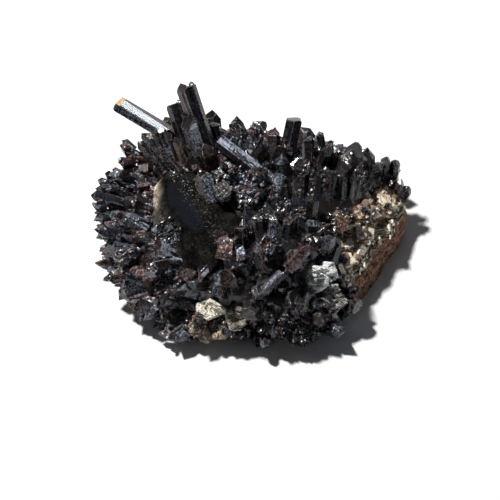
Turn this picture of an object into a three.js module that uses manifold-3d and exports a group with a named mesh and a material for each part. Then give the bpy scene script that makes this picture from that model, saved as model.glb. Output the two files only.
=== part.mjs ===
// A smoky quartz cluster on its host rock. Millimetres, +Z up.
// The rock is a low mound with a flat underside, and the origin is on that underside.
// Near-black quartz covers the mound in sprays. Each spray is one solid of prisms grown together with the
// crust at their roots, and a thin gap parts it from the rock and from its neighbours. On the right the
// layered side of the rock is bare. Four pale pieces of mica and feldspar sit among the prisms in front.
import * as THREE from "three";
import { ConvexGeometry } from "three/addons/geometries/ConvexGeometry.js";
import { mergeVertices } from "three/addons/utils/BufferGeometryUtils.js";
import Module from "manifold-3d";

const wasm = await Module();
wasm.setup();

const SEAT_GAP = 0.4; // between pieces that touch
const SMOOTHED = 0.2; // slivers flatter than this are smoothed away
const END_LEAN = 51.8; // degrees from a quartz prism's axis to the normals of its end faces
const RAD = Math.PI / 180;
const UP = new THREE.Vector3(0, 0, 1);
const FAR = 120; // beyond every side of the cluster
const ROCK = { color: 0x7a5238, roughness: 0.9 };
const QUARTZ = { color: 0x1c1815, roughness: 0.2 };
const PALE_ROUGHNESS = 0.5;

// ---------------------------------------------------------------- host rock, driving dimensions

// How far the mound reaches from its middle, every 22.5 degrees from +X towards +Y.
const REACH = [52.5, 68, 56, 48, 46, 47, 50, 52, 52, 47, 41, 36, 35, 40, 42.5, 45.5];
const MIDDLE = [2, -5]; // of the underside
const TOP_SHIFT = [-8, 12]; // from above that middle to the top
const TOP = 39.5;
const SLOPE_FOOT = 14; // height above which the sides lean in
const AROUND = 24; // points in each ring
const UNEVEN = 0.035; // how unequal their reach is, as a share of it
// The mound's side: [height, share of the reach where crystals cover it, share on the bare right side].
const SIDE = [
  [0, 0.86, 0.99],
  [4, 0.95, 1.0],
  [8, 1.0, 0.98],
  [9, 1.0, 0.95],
  [13, 0.99, 0.945],
  [14, 0.98, 0.975],
  [20, 0.93, 0.91],
  [27, 0.8, 0.75],
  [33, 0.57, 0.53],
  [37, 0.33, 0.32],
];
const BARE_HEADING = -12; // the middle of the bare side
const BARE_SPREAD = 62; // degrees from there to where it has faded out
// Angular lumps that stand out of the bare side, each a convex slab as the pale pieces are:
// [x, y, z, facing heading, rise, half thickness, reach of each edge in turn].
const LUMPS = [
  [52, 10, 19, 340, 40, 3.8, [4, 4.6, 3.8, 4.4, 4]],
  [58, 17, 15, 10, 35, 3.4, [4, 3.6, 4.2, 3.4, 4]],
  [46, 4, 23, 320, 45, 3.8, [4.4, 4, 4.6, 3.8, 4]],
  [45, -6, 20, 330, 35, 3.0, [3.4, 3, 3.6, 3.2, 3]],
  [39, -2, 25, 300, 50, 3.4, [4, 3.4, 3.8, 4, 3.4]],
  [54, 3, 14, 345, 20, 3.4, [4, 3.6, 4, 3.4, 3.8]],
  [42, -15, 14, 335, 25, 3.4, [3.8, 4, 3.4, 4, 3.6]],
];

// ---------------------------------------------------------------- quartz, driving dimensions

const CRUST = 2.4; // least thickness of the crust at the prisms' roots, at the crust's own corners
const CRUST_RELIEF = 1.8; // how much thicker it is in places
const CRUST_FOOT = 3; // height of its lower edge above the surface that the rock stands on
const SMALL_PRISMS = 92; // scattered over the whole mound
const ROOT = 2.5; // how deep they are rooted in the crust
const STRAY = 0.7; // how far their directions stray
const GOLDEN_TURN = 137.5; // degrees between one and the next
const SCATTER_CENTRE = new THREE.Vector3(0, 0, 6); // the point they are spread around
const SCATTER_STRETCH = new THREE.Vector3(1.25, 1, 0.75); // spreads them over the low, wide mound
const PLAIN_POINT = 6; // a narrower prism ends in three faces, a wider one in six
// The faces of a prism, as shares of its width.
const UNEVEN_SIDES = 0.16; // how unequal the side faces are
const UNEVEN_ENDS = 0.05; // how much further out one of the three large end faces may lie
const SMALL_ENDS = [0.06, 0.16]; // how far out the three small ones lie at least, and how much it varies
const SLANT = 0.28; // how far in the largest face of a slanted end lies
const BROKEN_OFF = 0.5; // how much longer a broken prism once was
const BROKEN_TILT = 0.25; // slope of a broken end

// Prisms placed one by one: [root x, y, z, heading, rise, length, width, flatness, roll, end].
const BACK_LEFT = [
  [-10, 13, 40, 147, 8, 51, 6.6, 0.7, 0, "stub"], // the long blade with a broad upper face
  [-12, 13, 33, 121, 55, 42, 5.2, 0.8, 20, "slant"], // the tall pair
  [-14, 12, 33, 120, 51, 41, 4.2, 1, 10, "point"],
  [-21, 13, 33, 116, 47, 31, 4.6, 0.9, 0, "stub"],
  [-20, 17, 35, 116, 51, 29, 2.4, 1, 15, "point"],
  [-15, 9, 32, 124, 56, 32, 6.4, 0.8, 0, "slant"],
  [-28, 12, 32, 136, 37, 25, 3.6, 1, 0, "slant"], // a comb of side-by-side prisms
  [-27, 11, 31, 134, 41, 25, 3.2, 1, 20, "point"],
  [-26, 10, 31, 128, 45, 27, 3.6, 1, 5, "slant"],
  [-25, 9, 31, 123, 47, 27, 3.6, 1, 25, "point"],
  [-24, 9, 30, 121, 50, 26, 3.2, 1, 10, "slant"],
  [-22, 11, 29, 130, 63, 24, 3.4, 1, 0, "point"],
  [-29, 13, 31, 142, 34, 23, 4.4, 1, 10, "slant"],
];
const LEFT_FAN = [
  [-31, 18, 33, 166, 18, 23, 4.4, 0.8, 0, "slant"],
  [-30, 17, 32, 173, 14, 23, 3.0, 1, 0, "point"],
  [-33, 13, 31, 163, 11, 20, 3.2, 1, 0, "slant"],
  [-37, 9, 28, 161, 15, 22, 3.4, 1, 15, "point"],
  [-37, 10, 29, 153, 11, 20, 2.6, 1, 0, "point"],
  [-41, 4, 25, 168, 13, 23, 4.4, 0.9, 20, "slant"],
  [-40, 7, 26, 161, 15, 22, 3.6, 1, 0, "point"],
  [-41, 1, 22, 167, 9, 23, 3.6, 1, 10, "slant"],
  [-39, -2, 22, 168, 4, 23, 5.2, 0.8, 0, "slant"],
  [-38, -2, 19, 179, 5, 22, 4.0, 1, 20, "point"],
  [-36, -6, 18, 180, 0, 21, 3.4, 1, 0, "slant"],
  [-35, -8, 19, 189, -8, 18, 3.8, 1, 0, "stub"],
  [-33, -11, 19, 189, -14, 20, 3.4, 1, 25, "point"],
];
const FRONT_LEFT = [
  [-23, -23, 24, 174, -24, 27, 5.6, 0.9, 0, "stub"],
  [-25, -26, 17, 184, -14, 26, 6.4, 0.85, 30, "slant"],
  [-25, -27, 12, 200, -14, 17, 3.0, 1, 0, "point"],
  [-18, -36, 12, 205, -24, 19, 6.4, 0.8, 0, "slant"],
  [-27, -31, 22, 165, -48, 15, 5, 1, 0, "point"],
  [-32, -19, 30, 172, -44, 14, 5, 1, 10, "slant"],
];
const CENTRE = [
  [-14, -5, 35, 116, 57, 19, 7.0, 0.7, 0, "slant"], // with one broad pear-shaped end face
  [-15, 9, 35, 119, 71, 18, 6.8, 1, 0, "point"],
  [14, 3, 37, 153, 27, 33, 5.6, 0.55, 0, "stub"], // the long blade across the middle
  [7, -9, 34, 71, 43, 19, 3.8, 0.5, 0, "slant"], // an upright blade
  [-7, 1, 34, 235, 62, 13, 8, 0.9, 15, "stub"], // a block of fine druse
  [-1, -1, 34, 282, 64, 14, 9, 0.9, 0, "slant"],
  [2, 3, 36, 60, 74, 11, 6.4, 1, 20, "stub"],
];
const BACK_ROW = [
  [-10, 21, 33, 116, 55, 17, 4.0, 1, 0, "stub"],
  [-4, 20, 31, 110, 50, 20, 8.2, 0.8, 0, "slant"],
  [10, 20, 32, 132, 40, 21, 7.4, 0.8, 0, "slant"],
  [8, 13, 35, 88, 30, 19, 6.2, 0.9, 0, "point"],
  [13, 18, 30, 72, 50, 23, 6.4, 0.9, 20, "stub"],
  [23, 15, 31, 92, 38, 18, 5.0, 1, 0, "slant"],
  [32, 22, 23, 122, 66, 22, 3.2, 1, 0, "point"],
];
const RIGHT_WALL = [
  [34, 17, 24, 98, 62, 16, 3.4, 1, 0, "slant"],
  [40, 12, 23, 84, 46, 22, 11.5, 0.9, 0, "point"], // a wide pyramid
  [19, -5, 30, 86, 38, 20, 5.6, 1, 0, "slant"], // a wall of upright prisms
  [24, -5, 28, 85, 42, 20, 5.0, 1, 20, "point"],
  [29, -4, 26, 86, 42, 22, 5.2, 1, 0, "slant"],
  [34, -2, 24, 84, 44, 22, 5.0, 1, 10, "point"],
  [38, 1, 23, 68, 40, 19, 5.2, 1, 0, "point"],
  [22, -12, 28, 73, 57, 11, 4.8, 1, 0, "point"],
  [27, -10, 27, 70, 45, 10, 4.6, 1, 20, "slant"],
];
const RIGHT_EDGE = [
  [43, 15, 20, 71, 54, 18, 6.0, 1, 0, "point"],
  [53, 23, 13, 70, 78, 19, 3.8, 1, 0, "point"],
  [57, 22, 12, 76, 72, 18, 3.8, 1, 20, "point"],
  [56, 17, 9, 41, 65, 17, 3.6, 1, 0, "slant"],
  [58, 16, 10, 40, 55, 13, 4.2, 1, 15, "point"],
];
const FRONT_RIDGE = [
  [28, -11, 32, 229, -4, 23, 4.8, 0.8, 0, "stub"], // two that lie along the slope
  [18, -25, 30, 216, -20, 24, 5.8, 0.7, 0, "slant"],
  [7, -20, 35, 299, -37, 13, 4.2, 1, 0, "point"],
  [-6, -28, 27, 104, 58, 13, 6.6, 0.8, 15, "stub"], // short squarish blocks
  [-3, -22, 31, 90, 61, 10, 5.4, 1, 30, "stub"],
  [0, -17, 33, 84, 58, 11, 5.6, 0.7, 0, "stub"],
  [4, -20, 32, 102, 54, 13, 5.2, 1, 0, "point"], // a row of dark points
  [9, -20, 31, 78, 58, 14, 5.2, 1, 20, "slant"],
  [13, -20, 30, 73, 59, 14, 5, 1, 0, "point"],
  [18, -15, 29, 65, 73, 12, 4.6, 1, 20, "slant"],
  [6, -29, 28, 127, 49, 11, 5.2, 1, 0, "point"],
  [0, -30, 25, 128, 63, 12, 5.6, 1, 0, "slant"],
  [18, -26, 25, 45, 70, 10, 5.2, 1, 0, "point"],
  [25, -16, 26, 58, 64, 10, 4.8, 1, 0, "slant"],
  [30, -22, 23, 63, 47, 11, 5.6, 1, 0, "point"],
];
const FRONT_MIDDLE = [
  [3, -36, 20, 254, -39, 11, 5.6, 1, 0, "slant"],
  [-6, -34, 20, 153, 74, 14, 6.4, 1, 0, "slant"],
  [-3, -39, 15, 250, -60, 12, 5.4, 1, 0, "point"],
  [-13, -37, 15, 239, -55, 12, 6.4, 1, 20, "slant"],
  [-18, -34, 11, 238, -34, 12, 6.2, 1, 0, "point"],
];
const FRONT_RIGHT = [
  [20, -33, 22, 258, -9, 12, 6.4, 1, 0, "point"],
  [27, -33, 15, 299, -40, 14, 7.4, 1, 10, "slant"],
  [20, -40, 16, 262, -60, 14, 6.6, 1, 0, "point"],
  [12, -39, 20, 250, -55, 15, 6.4, 1, 20, "slant"],
  [29, -31, 15, 325, -10, 9, 5.4, 1, 0, "point"],
];
// The faces of the broad crystal: [heading, rise, how far from its middle].
const BROAD_MIDDLE = [-20, -9, 33];
const BROAD_TOPS = [
  [333, 82, 6.6], // dark
  [216, 49, 6.4], // hazy
  [240, 44, 8.8],
  [262, 50, 10.9],
];
const BROAD_RIMS = [
  [100, 45, 19.5],
  [150, 30, 21],
  [180, 5, 17.5],
  [199, 0, 17],
  [244, 0, 19.5],
  [310, 0, 19.6],
  [337, 0, 16.2],
  [35, 5, 15.5],
  [0, -90, 14],
];

// Each spray: where its crust is centred, the prisms placed one by one, and how the small prisms among them
// lean (heading, rise and strength), how far they stand out and how wide they are.
const SPRAYS = [
  { name: "broad_crystal", seed: [-21, -8, 34], placed: [], broad: true },
  {
    name: "back_left_crystals",
    seed: [-22, 18, 36],
    placed: BACK_LEFT,
    lean: [128, 45, 0.7],
    out: 12,
    wide: 4.6,
  },
  {
    name: "centre_crystals",
    seed: [0, 6, 40],
    placed: CENTRE,
    lean: [150, 60, 0.3],
    out: 5,
    wide: 4.4,
  },
  {
    name: "left_fan_crystals",
    seed: [-45, 8, 20],
    placed: LEFT_FAN,
    lean: [172, 8, 0.8],
    out: 8,
    wide: 4.8,
  },
  {
    name: "back_row_crystals",
    seed: [8, 32, 30],
    placed: BACK_ROW,
    lean: [95, 25, 0.6],
    out: 5,
    wide: 5.4,
  },
  {
    name: "right_wall_crystals",
    seed: [30, 6, 30],
    placed: RIGHT_WALL,
    lean: [80, 60, 0.6],
    out: 7,
    wide: 4.8,
  },
  {
    name: "right_edge_crystals",
    seed: [54, 24, 18],
    placed: RIGHT_EDGE,
    lean: [50, 60, 0.5],
    out: 7,
    wide: 4.6,
  },
  {
    name: "front_ridge_crystals",
    seed: [11, -19, 30],
    placed: FRONT_RIDGE,
    lean: [250, 45, 0.4],
    out: 7,
    wide: 5,
  },
  {
    name: "front_left_crystals",
    seed: [-32, -24, 15],
    placed: FRONT_LEFT,
    lean: [195, -5, 0.6],
    out: 8,
    wide: 4.8,
  },
  {
    name: "front_middle_crystals",
    seed: [-5, -38, 10],
    placed: FRONT_MIDDLE,
    lean: [250, 10, 0.4],
    out: 7,
    wide: 5,
  },
  {
    name: "front_right_crystals",
    seed: [26, -36, 12],
    placed: FRONT_RIGHT,
    lean: [290, 10, 0.4],
    out: 6.5,
    wide: 5.4,
  },
  {
    name: "rear_left_crystals",
    seed: [-28, 36, 14],
    placed: [],
    lean: [125, -10, 0.5],
    out: 8,
    wide: 6.4,
  },
  {
    name: "rear_right_crystals",
    seed: [26, 40, 12],
    placed: [],
    lean: [80, -25, 0.6],
    out: 4,
    wide: 6.4,
  },
];
// Middles of the bare ground, which no crust covers.
const BARE = [
  [60, 4, 12],
  [47, -3, 23],
  [46, -19, 10],
];

// ---------------------------------------------------------------- pale pieces, driving dimensions

// Each is a few convex slabs: [x, y, z, facing heading, rise, half thickness, reach of each edge in turn].
const PALE = [
  {
    name: "silver_flake",
    color: 0xc4c8c6,
    slabs: [
      [25, -30, 24, 262, 58, 2.4, [5, 7, 5.5, 7, 4, 6.5, 5]],
      [30, -27, 25, 280, 50, 2, [3, 4, 3.4, 3, 4]],
    ],
  },
  { name: "grey_flake", color: 0x837e74, slabs: [[32, -34, 18, 300, 52, 1.8, [4, 5, 4, 4.6, 5]]] },
  { name: "cream_chunk", color: 0xcbbf9f, slabs: [[-15, -39, 17, 250, 48, 3, [6, 3.6, 4, 5.6, 4, 3.4]]] },
  { name: "leaf_plate", color: 0x77715c, slabs: [[-4, -41, 16, 285, 55, 1.8, [7, 4.8, 4.4, 5, 6, 4.6]]] },
];

// ---------------------------------------------------------------- solids

// A repeatable stream of numbers from 0 to 1.
function numbers(seed) {
  let state = seed >>> 0;
  return () => {
    state = (state + 0x6d2b79f5) >>> 0;
    let t = state;
    t = Math.imul(t ^ (t >>> 15), t | 1);
    t ^= t + Math.imul(t ^ (t >>> 7), t | 61);
    return ((t ^ (t >>> 14)) >>> 0) / 4294967296;
  };
}

// The unit vector at a heading from +X towards +Y and a rise above level, in degrees.
function towards(heading, rise) {
  const level = Math.cos(rise * RAD);
  return new THREE.Vector3(
    level * Math.cos(heading * RAD),
    level * Math.sin(heading * RAD),
    Math.sin(rise * RAD),
  );
}

// Two unit vectors square to an axis and to each other.
function across(axis) {
  const level = Math.abs(axis.z) > 0.95 ? new THREE.Vector3(1, 0, 0) : UP;
  const side = new THREE.Vector3().crossVectors(level, axis).normalize();
  return [new THREE.Vector3().crossVectors(axis, side), side];
}

// A closed three.js geometry as a solid.
function solid(geometry) {
  const bare = geometry.clone();
  bare.deleteAttribute("normal");
  bare.deleteAttribute("uv");
  const merged = mergeVertices(bare, 1e-3);
  return new wasm.Manifold(
    new wasm.Mesh({
      numProp: 3,
      vertProperties: new Float32Array(merged.attributes.position.array),
      triVerts: new Uint32Array(merged.index.array),
    }),
  );
}

// The convex solid inside a set of planes, each { normal, offset }. Growing it moves every plane out.
function insidePlanes(planes, grow = 0) {
  const corners = [];
  const at = (plane) => plane.offset + grow;
  for (let i = 0; i < planes.length; i++)
    for (let j = i + 1; j < planes.length; j++) {
      const line = new THREE.Vector3().crossVectors(planes[i].normal, planes[j].normal);
      for (let k = j + 1; k < planes.length; k++) {
        const volume = line.dot(planes[k].normal);
        if (Math.abs(volume) < 1e-4) continue;
        const jk = new THREE.Vector3().crossVectors(planes[j].normal, planes[k].normal);
        const ki = new THREE.Vector3().crossVectors(planes[k].normal, planes[i].normal);
        const corner = line.clone().multiplyScalar(at(planes[k]));
        corner.addScaledVector(jk, at(planes[i])).addScaledVector(ki, at(planes[j]));
        corner.divideScalar(volume);
        const inside = planes.every((plane) => plane.normal.dot(corner) <= at(plane) + 1e-3);
        if (inside && corners.every((other) => other.distanceTo(corner) > 0.02)) corners.push(corner);
      }
    }
  return solid(new ConvexGeometry(corners));
}

// ---------------------------------------------------------------- crystals

// The planes of one quartz prism: six side faces and six end faces that lean in to its point.
// flat is its thickness as a share of its width, and roll turns it about its axis.
// end: "point", "slant" with one large end face, or "stub", broken across.
function prismPlanes(root, axis, long, wide, flat, roll, end, draw) {
  const [front, side] = across(axis);
  const planes = [];
  const add = (normal, reach) => planes.push({ normal, offset: normal.dot(root) + reach });
  const full = long + (end === "stub" ? wide * BROKEN_OFF : 0);
  const lean = END_LEAN * RAD;
  const largest = Math.floor(draw() * 3) * 2;
  for (let i = 0; i < 6; i++) {
    const turn = (roll + i * 60) * RAD;
    const out = front.clone().multiplyScalar(Math.cos(turn)).addScaledVector(side, Math.sin(turn));
    const thin = i % 3 === 0 ? flat : 1;
    add(out, (wide / 2) * thin * (1 + UNEVEN_SIDES * (draw() - 0.5)));
    let ahead = i % 2 === 0 ? UNEVEN_ENDS * draw() : SMALL_ENDS[0] + SMALL_ENDS[1] * draw();
    if (end === "slant" && i === largest) ahead = -SLANT;
    if (i % 2 === 1 && wide < PLAIN_POINT) continue;
    const inward = out.clone().multiplyScalar(Math.sin(lean)).addScaledVector(axis, Math.cos(lean));
    add(inward, Math.cos(lean) * full + ahead * wide);
  }
  add(axis.clone().negate(), 0);
  if (end === "stub") {
    const broken = towards(draw() * 360, 0).multiplyScalar(BROKEN_TILT).add(axis).normalize();
    add(broken, broken.dot(axis) * long);
  }
  return planes;
}

// A convex slab that faces a heading and rise, with edges at the given reaches around its middle.
function slabPlanes([x, y, z, heading, rise, half, edges], draw) {
  const middle = new THREE.Vector3(x, y, z);
  const axis = towards(heading, rise);
  const [front, side] = across(axis);
  const planes = [];
  const add = (normal, reach) => planes.push({ normal, offset: normal.dot(middle) + reach });
  add(axis, half);
  add(axis.clone().negate(), half);
  edges.forEach((reach, i) => {
    const turn = ((i + 0.3 * draw()) * 2 * Math.PI) / edges.length;
    const out = front.clone().multiplyScalar(Math.cos(turn)).addScaledVector(side, Math.sin(turn));
    add(out.addScaledVector(axis, 0.3 * draw()).normalize(), reach);
  });
  return planes;
}

// The planes of some faces of the broad crystal.
function broadPlanes(faces) {
  return faces.map(([heading, rise, reach]) => {
    const normal = towards(heading, rise);
    return { normal, offset: normal.dot(new THREE.Vector3(...BROAD_MIDDLE)) + reach };
  });
}

// ---------------------------------------------------------------- mound

// The mound's reach at an angle in degrees, smoothed between the listed values.
function reachAt(angle) {
  const step = 360 / REACH.length;
  const turn = (((angle % 360) + 360) % 360) / step;
  const i = Math.floor(turn);
  const t = turn - i;
  const [a, b, c, d] = [-1, 0, 1, 2].map((k) => REACH[(i + k + REACH.length) % REACH.length]);
  return b + 0.5 * t * (c - a + t * (2 * a - 5 * b + 4 * c - d + t * (3 * (b - c) + d - a)));
}

// How bare the side is at an angle: 1 in the middle of the bare side, 0 where crystals cover it.
function bareness(angle) {
  const away = Math.abs(((angle - BARE_HEADING + 540) % 360) - 180);
  return away < BARE_SPREAD ? Math.cos((away / BARE_SPREAD) * 90 * RAD) : 0;
}

// The mound grown outwards, by the same amount everywhere plus up to relief more from point to point.
// A coarser one has every step-th ring and point.
function mound(grow = 0, relief = 0, step = 1) {
  const draw = numbers(7);
  const points = [];
  const around = AROUND / step;
  const rings = SIDE.filter((ring, i) => i % step === 0);
  for (const [height, covered, bare] of rings)
    for (let i = 0; i < around; i++) {
      const angle = ((i + 0.4 * draw()) * 360) / around;
      const share = THREE.MathUtils.lerp(covered, bare, bareness(angle));
      const out = grow + relief * draw();
      const uneven = 1 + (height > 0 ? UNEVEN * (draw() - 0.5) : 0);
      const reach = share * reachAt(angle) * uneven + out;
      const climb = (height / TOP) ** 2;
      points.push(
        new THREE.Vector3(
          MIDDLE[0] + TOP_SHIFT[0] * climb + reach * Math.cos(angle * RAD),
          MIDDLE[1] + TOP_SHIFT[1] * climb + reach * Math.sin(angle * RAD),
          height === 0 ? -grow : height + (height > SLOPE_FOOT ? out : 0),
        ),
      );
    }
  const foot = points.push(new THREE.Vector3(...MIDDLE, -grow)) - 1;
  const peak = new THREE.Vector3(MIDDLE[0] + TOP_SHIFT[0], MIDDLE[1] + TOP_SHIFT[1], TOP + grow + relief);
  const top = points.push(peak) - 1;
  const faces = [];
  const last = (rings.length - 1) * around;
  for (let i = 0; i < around; i++) {
    const next = (i + 1) % around;
    faces.push(foot, next, i);
    for (let ring = 0; ring < last; ring += around) {
      const [a, b] = [ring + i, ring + next];
      faces.push(a, b, b + around, a, b + around, a + around);
    }
    faces.push(last + i, last + next, top);
  }
  const geometry = new THREE.BufferGeometry();
  const flat = points.flatMap((point) => point.toArray());
  geometry.setAttribute("position", new THREE.Float32BufferAttribute(flat, 3));
  geometry.setIndex(faces);
  return geometry;
}

// ---------------------------------------------------------------- assembly

const group = new THREE.Group();

// A node of the group from a solid. Slivers that the cuts leave loose are left out.
function addNode(name, whole, { color, roughness }) {
  const pieces = whole.asOriginal().simplify(SMOOTHED).decompose();
  const largest = pieces.reduce((a, b) => (a.volume() > b.volume() ? a : b));
  const mesh = largest.getMesh();
  const geometry = new THREE.BufferGeometry();
  geometry.setAttribute("position", new THREE.Float32BufferAttribute(mesh.vertProperties, 3));
  geometry.setIndex(new THREE.Uint32BufferAttribute(mesh.triVerts, 1));
  geometry.computeVertexNormals();
  const node = new THREE.Mesh(geometry, new THREE.MeshStandardMaterial({ color, roughness, metalness: 0 }));
  node.name = name;
  group.add(node);
}

const draw = numbers(11);
const join = (solids) => wasm.Manifold.union(solids);

const lumps = LUMPS.map((lump) => slabPlanes(lump, draw));
addNode("host_rock", join([solid(mound()), ...lumps.map((planes) => insidePlanes(planes))]), ROCK);

// Every piece so far, grown by the gap. The pieces after it are cut by all of these.
const taken = [solid(mound(SEAT_GAP)), ...lumps.map((planes) => insidePlanes(planes, SEAT_GAP))];

for (const { name, color, slabs } of PALE) {
  const planes = slabs.map((slab) => slabPlanes(slab, draw));
  const whole = join(planes.map((slab) => insidePlanes(slab)));
  addNode(name, whole.subtract(join(taken)), { color, roughness: PALE_ROUGHNESS });
  taken.push(...planes.map((slab) => insidePlanes(slab, SEAT_GAP)));
}

const SEEDS = [...SPRAYS.map((spray) => spray.seed), ...BARE].map((seed) => new THREE.Vector3(...seed));

// The planes between the ground of the spray of a number and every other ground.
function groundPlanes(number) {
  const here = SEEDS[number];
  const planes = [{ normal: UP.clone().negate(), offset: -CRUST_FOOT }];
  planes.push({ normal: UP, offset: FAR });
  for (const turn of [0, 90, 180, 270]) planes.push({ normal: towards(turn, 0), offset: FAR });
  for (const there of SEEDS) {
    if (there === here) continue;
    const normal = there.clone().sub(here).normalize();
    const middle = there.clone().add(here).multiplyScalar(0.5);
    planes.push({ normal, offset: normal.dot(middle) - SEAT_GAP / 2 });
  }
  return planes;
}

// The number of the spray whose ground a point is on. Bare grounds have the numbers after those.
function groundAt(point) {
  const distances = SEEDS.map((seed) => point.distanceTo(seed));
  return distances.indexOf(Math.min(...distances));
}

// Small prisms rooted evenly over the crust, sorted by spray.
function scatterPrisms() {
  const inwardToo = new THREE.MeshBasicMaterial({ side: THREE.DoubleSide });
  const ground = new THREE.Mesh(mound(CRUST, CRUST_RELIEF, 2), inwardToo);
  const sorted = SPRAYS.map(() => []);
  for (let i = 0; i < SMALL_PRISMS; i++) {
    const rise = Math.asin((i + 0.5) / SMALL_PRISMS) / RAD;
    const ray = towards(i * GOLDEN_TURN, rise).multiply(SCATTER_STRETCH).normalize();
    const hit = new THREE.Raycaster(SCATTER_CENTRE, ray).intersectObject(ground)[0];
    const number = groundAt(hit.point);
    const spray = SPRAYS[number];
    if (!spray?.lean || hit.point.z < CRUST_FOOT + ROOT) continue;
    const [heading, rising, strength] = spray.lean;
    const strayed = new THREE.Vector3(draw() - 0.5, draw() - 0.5, draw() - 0.5).multiplyScalar(STRAY);
    const axis = hit.face.normal.clone().multiplyScalar(1 - strength).add(strayed);
    axis.addScaledVector(towards(heading, rising), strength).normalize();
    const root = hit.point.clone().addScaledVector(axis, -ROOT);
    const long = ROOT + spray.out * (0.6 + 0.8 * draw());
    const wide = spray.wide * (0.7 + 0.6 * draw());
    const end = ["point", "slant", "point", "stub"][Math.floor(4 * draw())];
    sorted[number].push(prismPlanes(root, axis, long, wide, 1, 60 * draw(), end, draw));
  }
  return sorted;
}

const scattered = scatterPrisms();
const crust = solid(mound(CRUST, CRUST_RELIEF, 2));
const grownCrust = solid(mound(CRUST + SEAT_GAP, CRUST_RELIEF, 2));
SPRAYS.forEach(({ name, placed, broad }, number) => {
  const prisms = placed.map(([x, y, z, heading, rise, ...shape]) =>
    prismPlanes(new THREE.Vector3(x, y, z), towards(heading, rise), ...shape, draw),
  );
  prisms.push(...scattered[number]);
  const ground = groundPlanes(number);
  if (broad) {
    prisms.push(broadPlanes([...BROAD_TOPS, ...BROAD_RIMS]));
    ground.push(...broadPlanes(BROAD_TOPS)); // no crust above its faces
  }
  const ownCrust = crust.intersect(insidePlanes(ground));
  const grown = join([ownCrust, ...prisms.map((planes) => insidePlanes(planes))]);
  addNode(name, grown.subtract(join(taken)), QUARTZ);
  taken.push(grownCrust.intersect(insidePlanes(ground, SEAT_GAP)));
  taken.push(...prisms.map((planes) => insidePlanes(planes, SEAT_GAP)));
});

export default group;
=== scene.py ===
"""A smoky quartz cluster on its host rock.

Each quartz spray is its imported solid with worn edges, together with the druse that grows on it.
The host rock is a surface worked out from its own outline, layers and lumps. Mica and feldspar sit among them.
Lengths are written in millimetres and turned into metres as each mesh is made.
"""

import bmesh
import bpy
import numpy as np
from mathutils import Matrix, Vector


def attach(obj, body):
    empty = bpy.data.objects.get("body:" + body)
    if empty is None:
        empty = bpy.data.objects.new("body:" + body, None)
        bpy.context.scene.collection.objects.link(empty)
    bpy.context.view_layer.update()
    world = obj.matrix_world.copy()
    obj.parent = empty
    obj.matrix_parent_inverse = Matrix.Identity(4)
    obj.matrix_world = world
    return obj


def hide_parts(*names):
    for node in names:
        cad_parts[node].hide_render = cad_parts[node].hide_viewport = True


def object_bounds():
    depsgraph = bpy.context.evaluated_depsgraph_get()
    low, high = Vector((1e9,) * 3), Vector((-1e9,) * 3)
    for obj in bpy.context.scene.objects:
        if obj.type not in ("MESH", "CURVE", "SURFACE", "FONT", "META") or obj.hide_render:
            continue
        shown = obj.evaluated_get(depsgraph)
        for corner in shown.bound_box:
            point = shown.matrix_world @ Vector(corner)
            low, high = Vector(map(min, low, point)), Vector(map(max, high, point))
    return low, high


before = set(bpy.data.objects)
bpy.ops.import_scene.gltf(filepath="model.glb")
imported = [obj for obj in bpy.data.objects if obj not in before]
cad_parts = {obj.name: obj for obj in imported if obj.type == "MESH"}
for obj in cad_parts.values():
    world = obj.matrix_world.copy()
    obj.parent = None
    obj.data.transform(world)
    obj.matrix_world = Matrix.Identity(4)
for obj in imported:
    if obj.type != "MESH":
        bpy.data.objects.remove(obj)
cad_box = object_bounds()

MM = 0.001
RAD = np.pi / 180
# The box that no new point leaves: the solids' own, less a margin on each side and a larger one above the floor.
BOX_LOW = np.array(list(cad_box[0])) / MM + [0.1, 0.1, 0.3]
BOX_HIGH = np.array(list(cad_box[1])) / MM - 0.1

# ---- numbers and directions ----


def length(vectors):
    return np.linalg.norm(vectors, axis=-1)


def unit(vectors):
    """Each vector divided by its length."""
    return vectors / np.maximum(length(vectors), 1e-9)[..., None]


def towards(heading, rise):
    """The direction at a heading from +X towards +Y and a rise above level, in degrees."""
    flat = np.cos(rise * RAD)
    return np.stack([flat * np.cos(heading * RAD), flat * np.sin(heading * RAD), np.sin(rise * RAD) + 0 * flat], -1)


def across(axis):
    """Two directions square to each axis and to each other, the first nearly level."""
    front = unit(np.cross(np.broadcast_to([0.03, 0.05, 1], axis.shape), axis))
    return front, np.cross(axis, front)


def cell_value(cell, seed):
    """A fixed value from 0 to 1 for each whole-number cell: the fraction of a long sine of its coordinates."""
    mixed = cell @ np.array([127.1, 311.7, 74.7]) + seed * 19.19
    return np.modf(np.abs(np.sin(mixed) * 43758.5453))[0]


def lumpy(points, size, seed):
    """Smooth lumps from 0 to 1: the values at the eight corners of a cube of a size, blended within it."""
    scaled = points / size
    cell = np.floor(scaled)
    ease = scaled - cell
    ease = ease * ease * (3 - 2 * ease)
    total = 0
    for corner in np.ndindex(2, 2, 2):
        weight = np.prod(np.where(corner, ease, 1 - ease), axis=-1)
        total = total + weight * cell_value(cell + corner, seed)
    return total


def craggy(points, size, seed, steps):
    """Lumps of a size, half as large on top of them, and so on, each half as tall, with a mean near 0."""
    return sum((lumpy(points, size / 2**step, seed + step) - 0.5) / 2**step for step in range(steps))


# ---- shapes made of arrays ----


LIES = ("along", "around")
LOOKS = ("dust", "matt", "rust", "kin", "calm", "spark")
DUST, MATT, RUST, KIN, CALM, SPARK = range(len(LOOKS))


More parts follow.
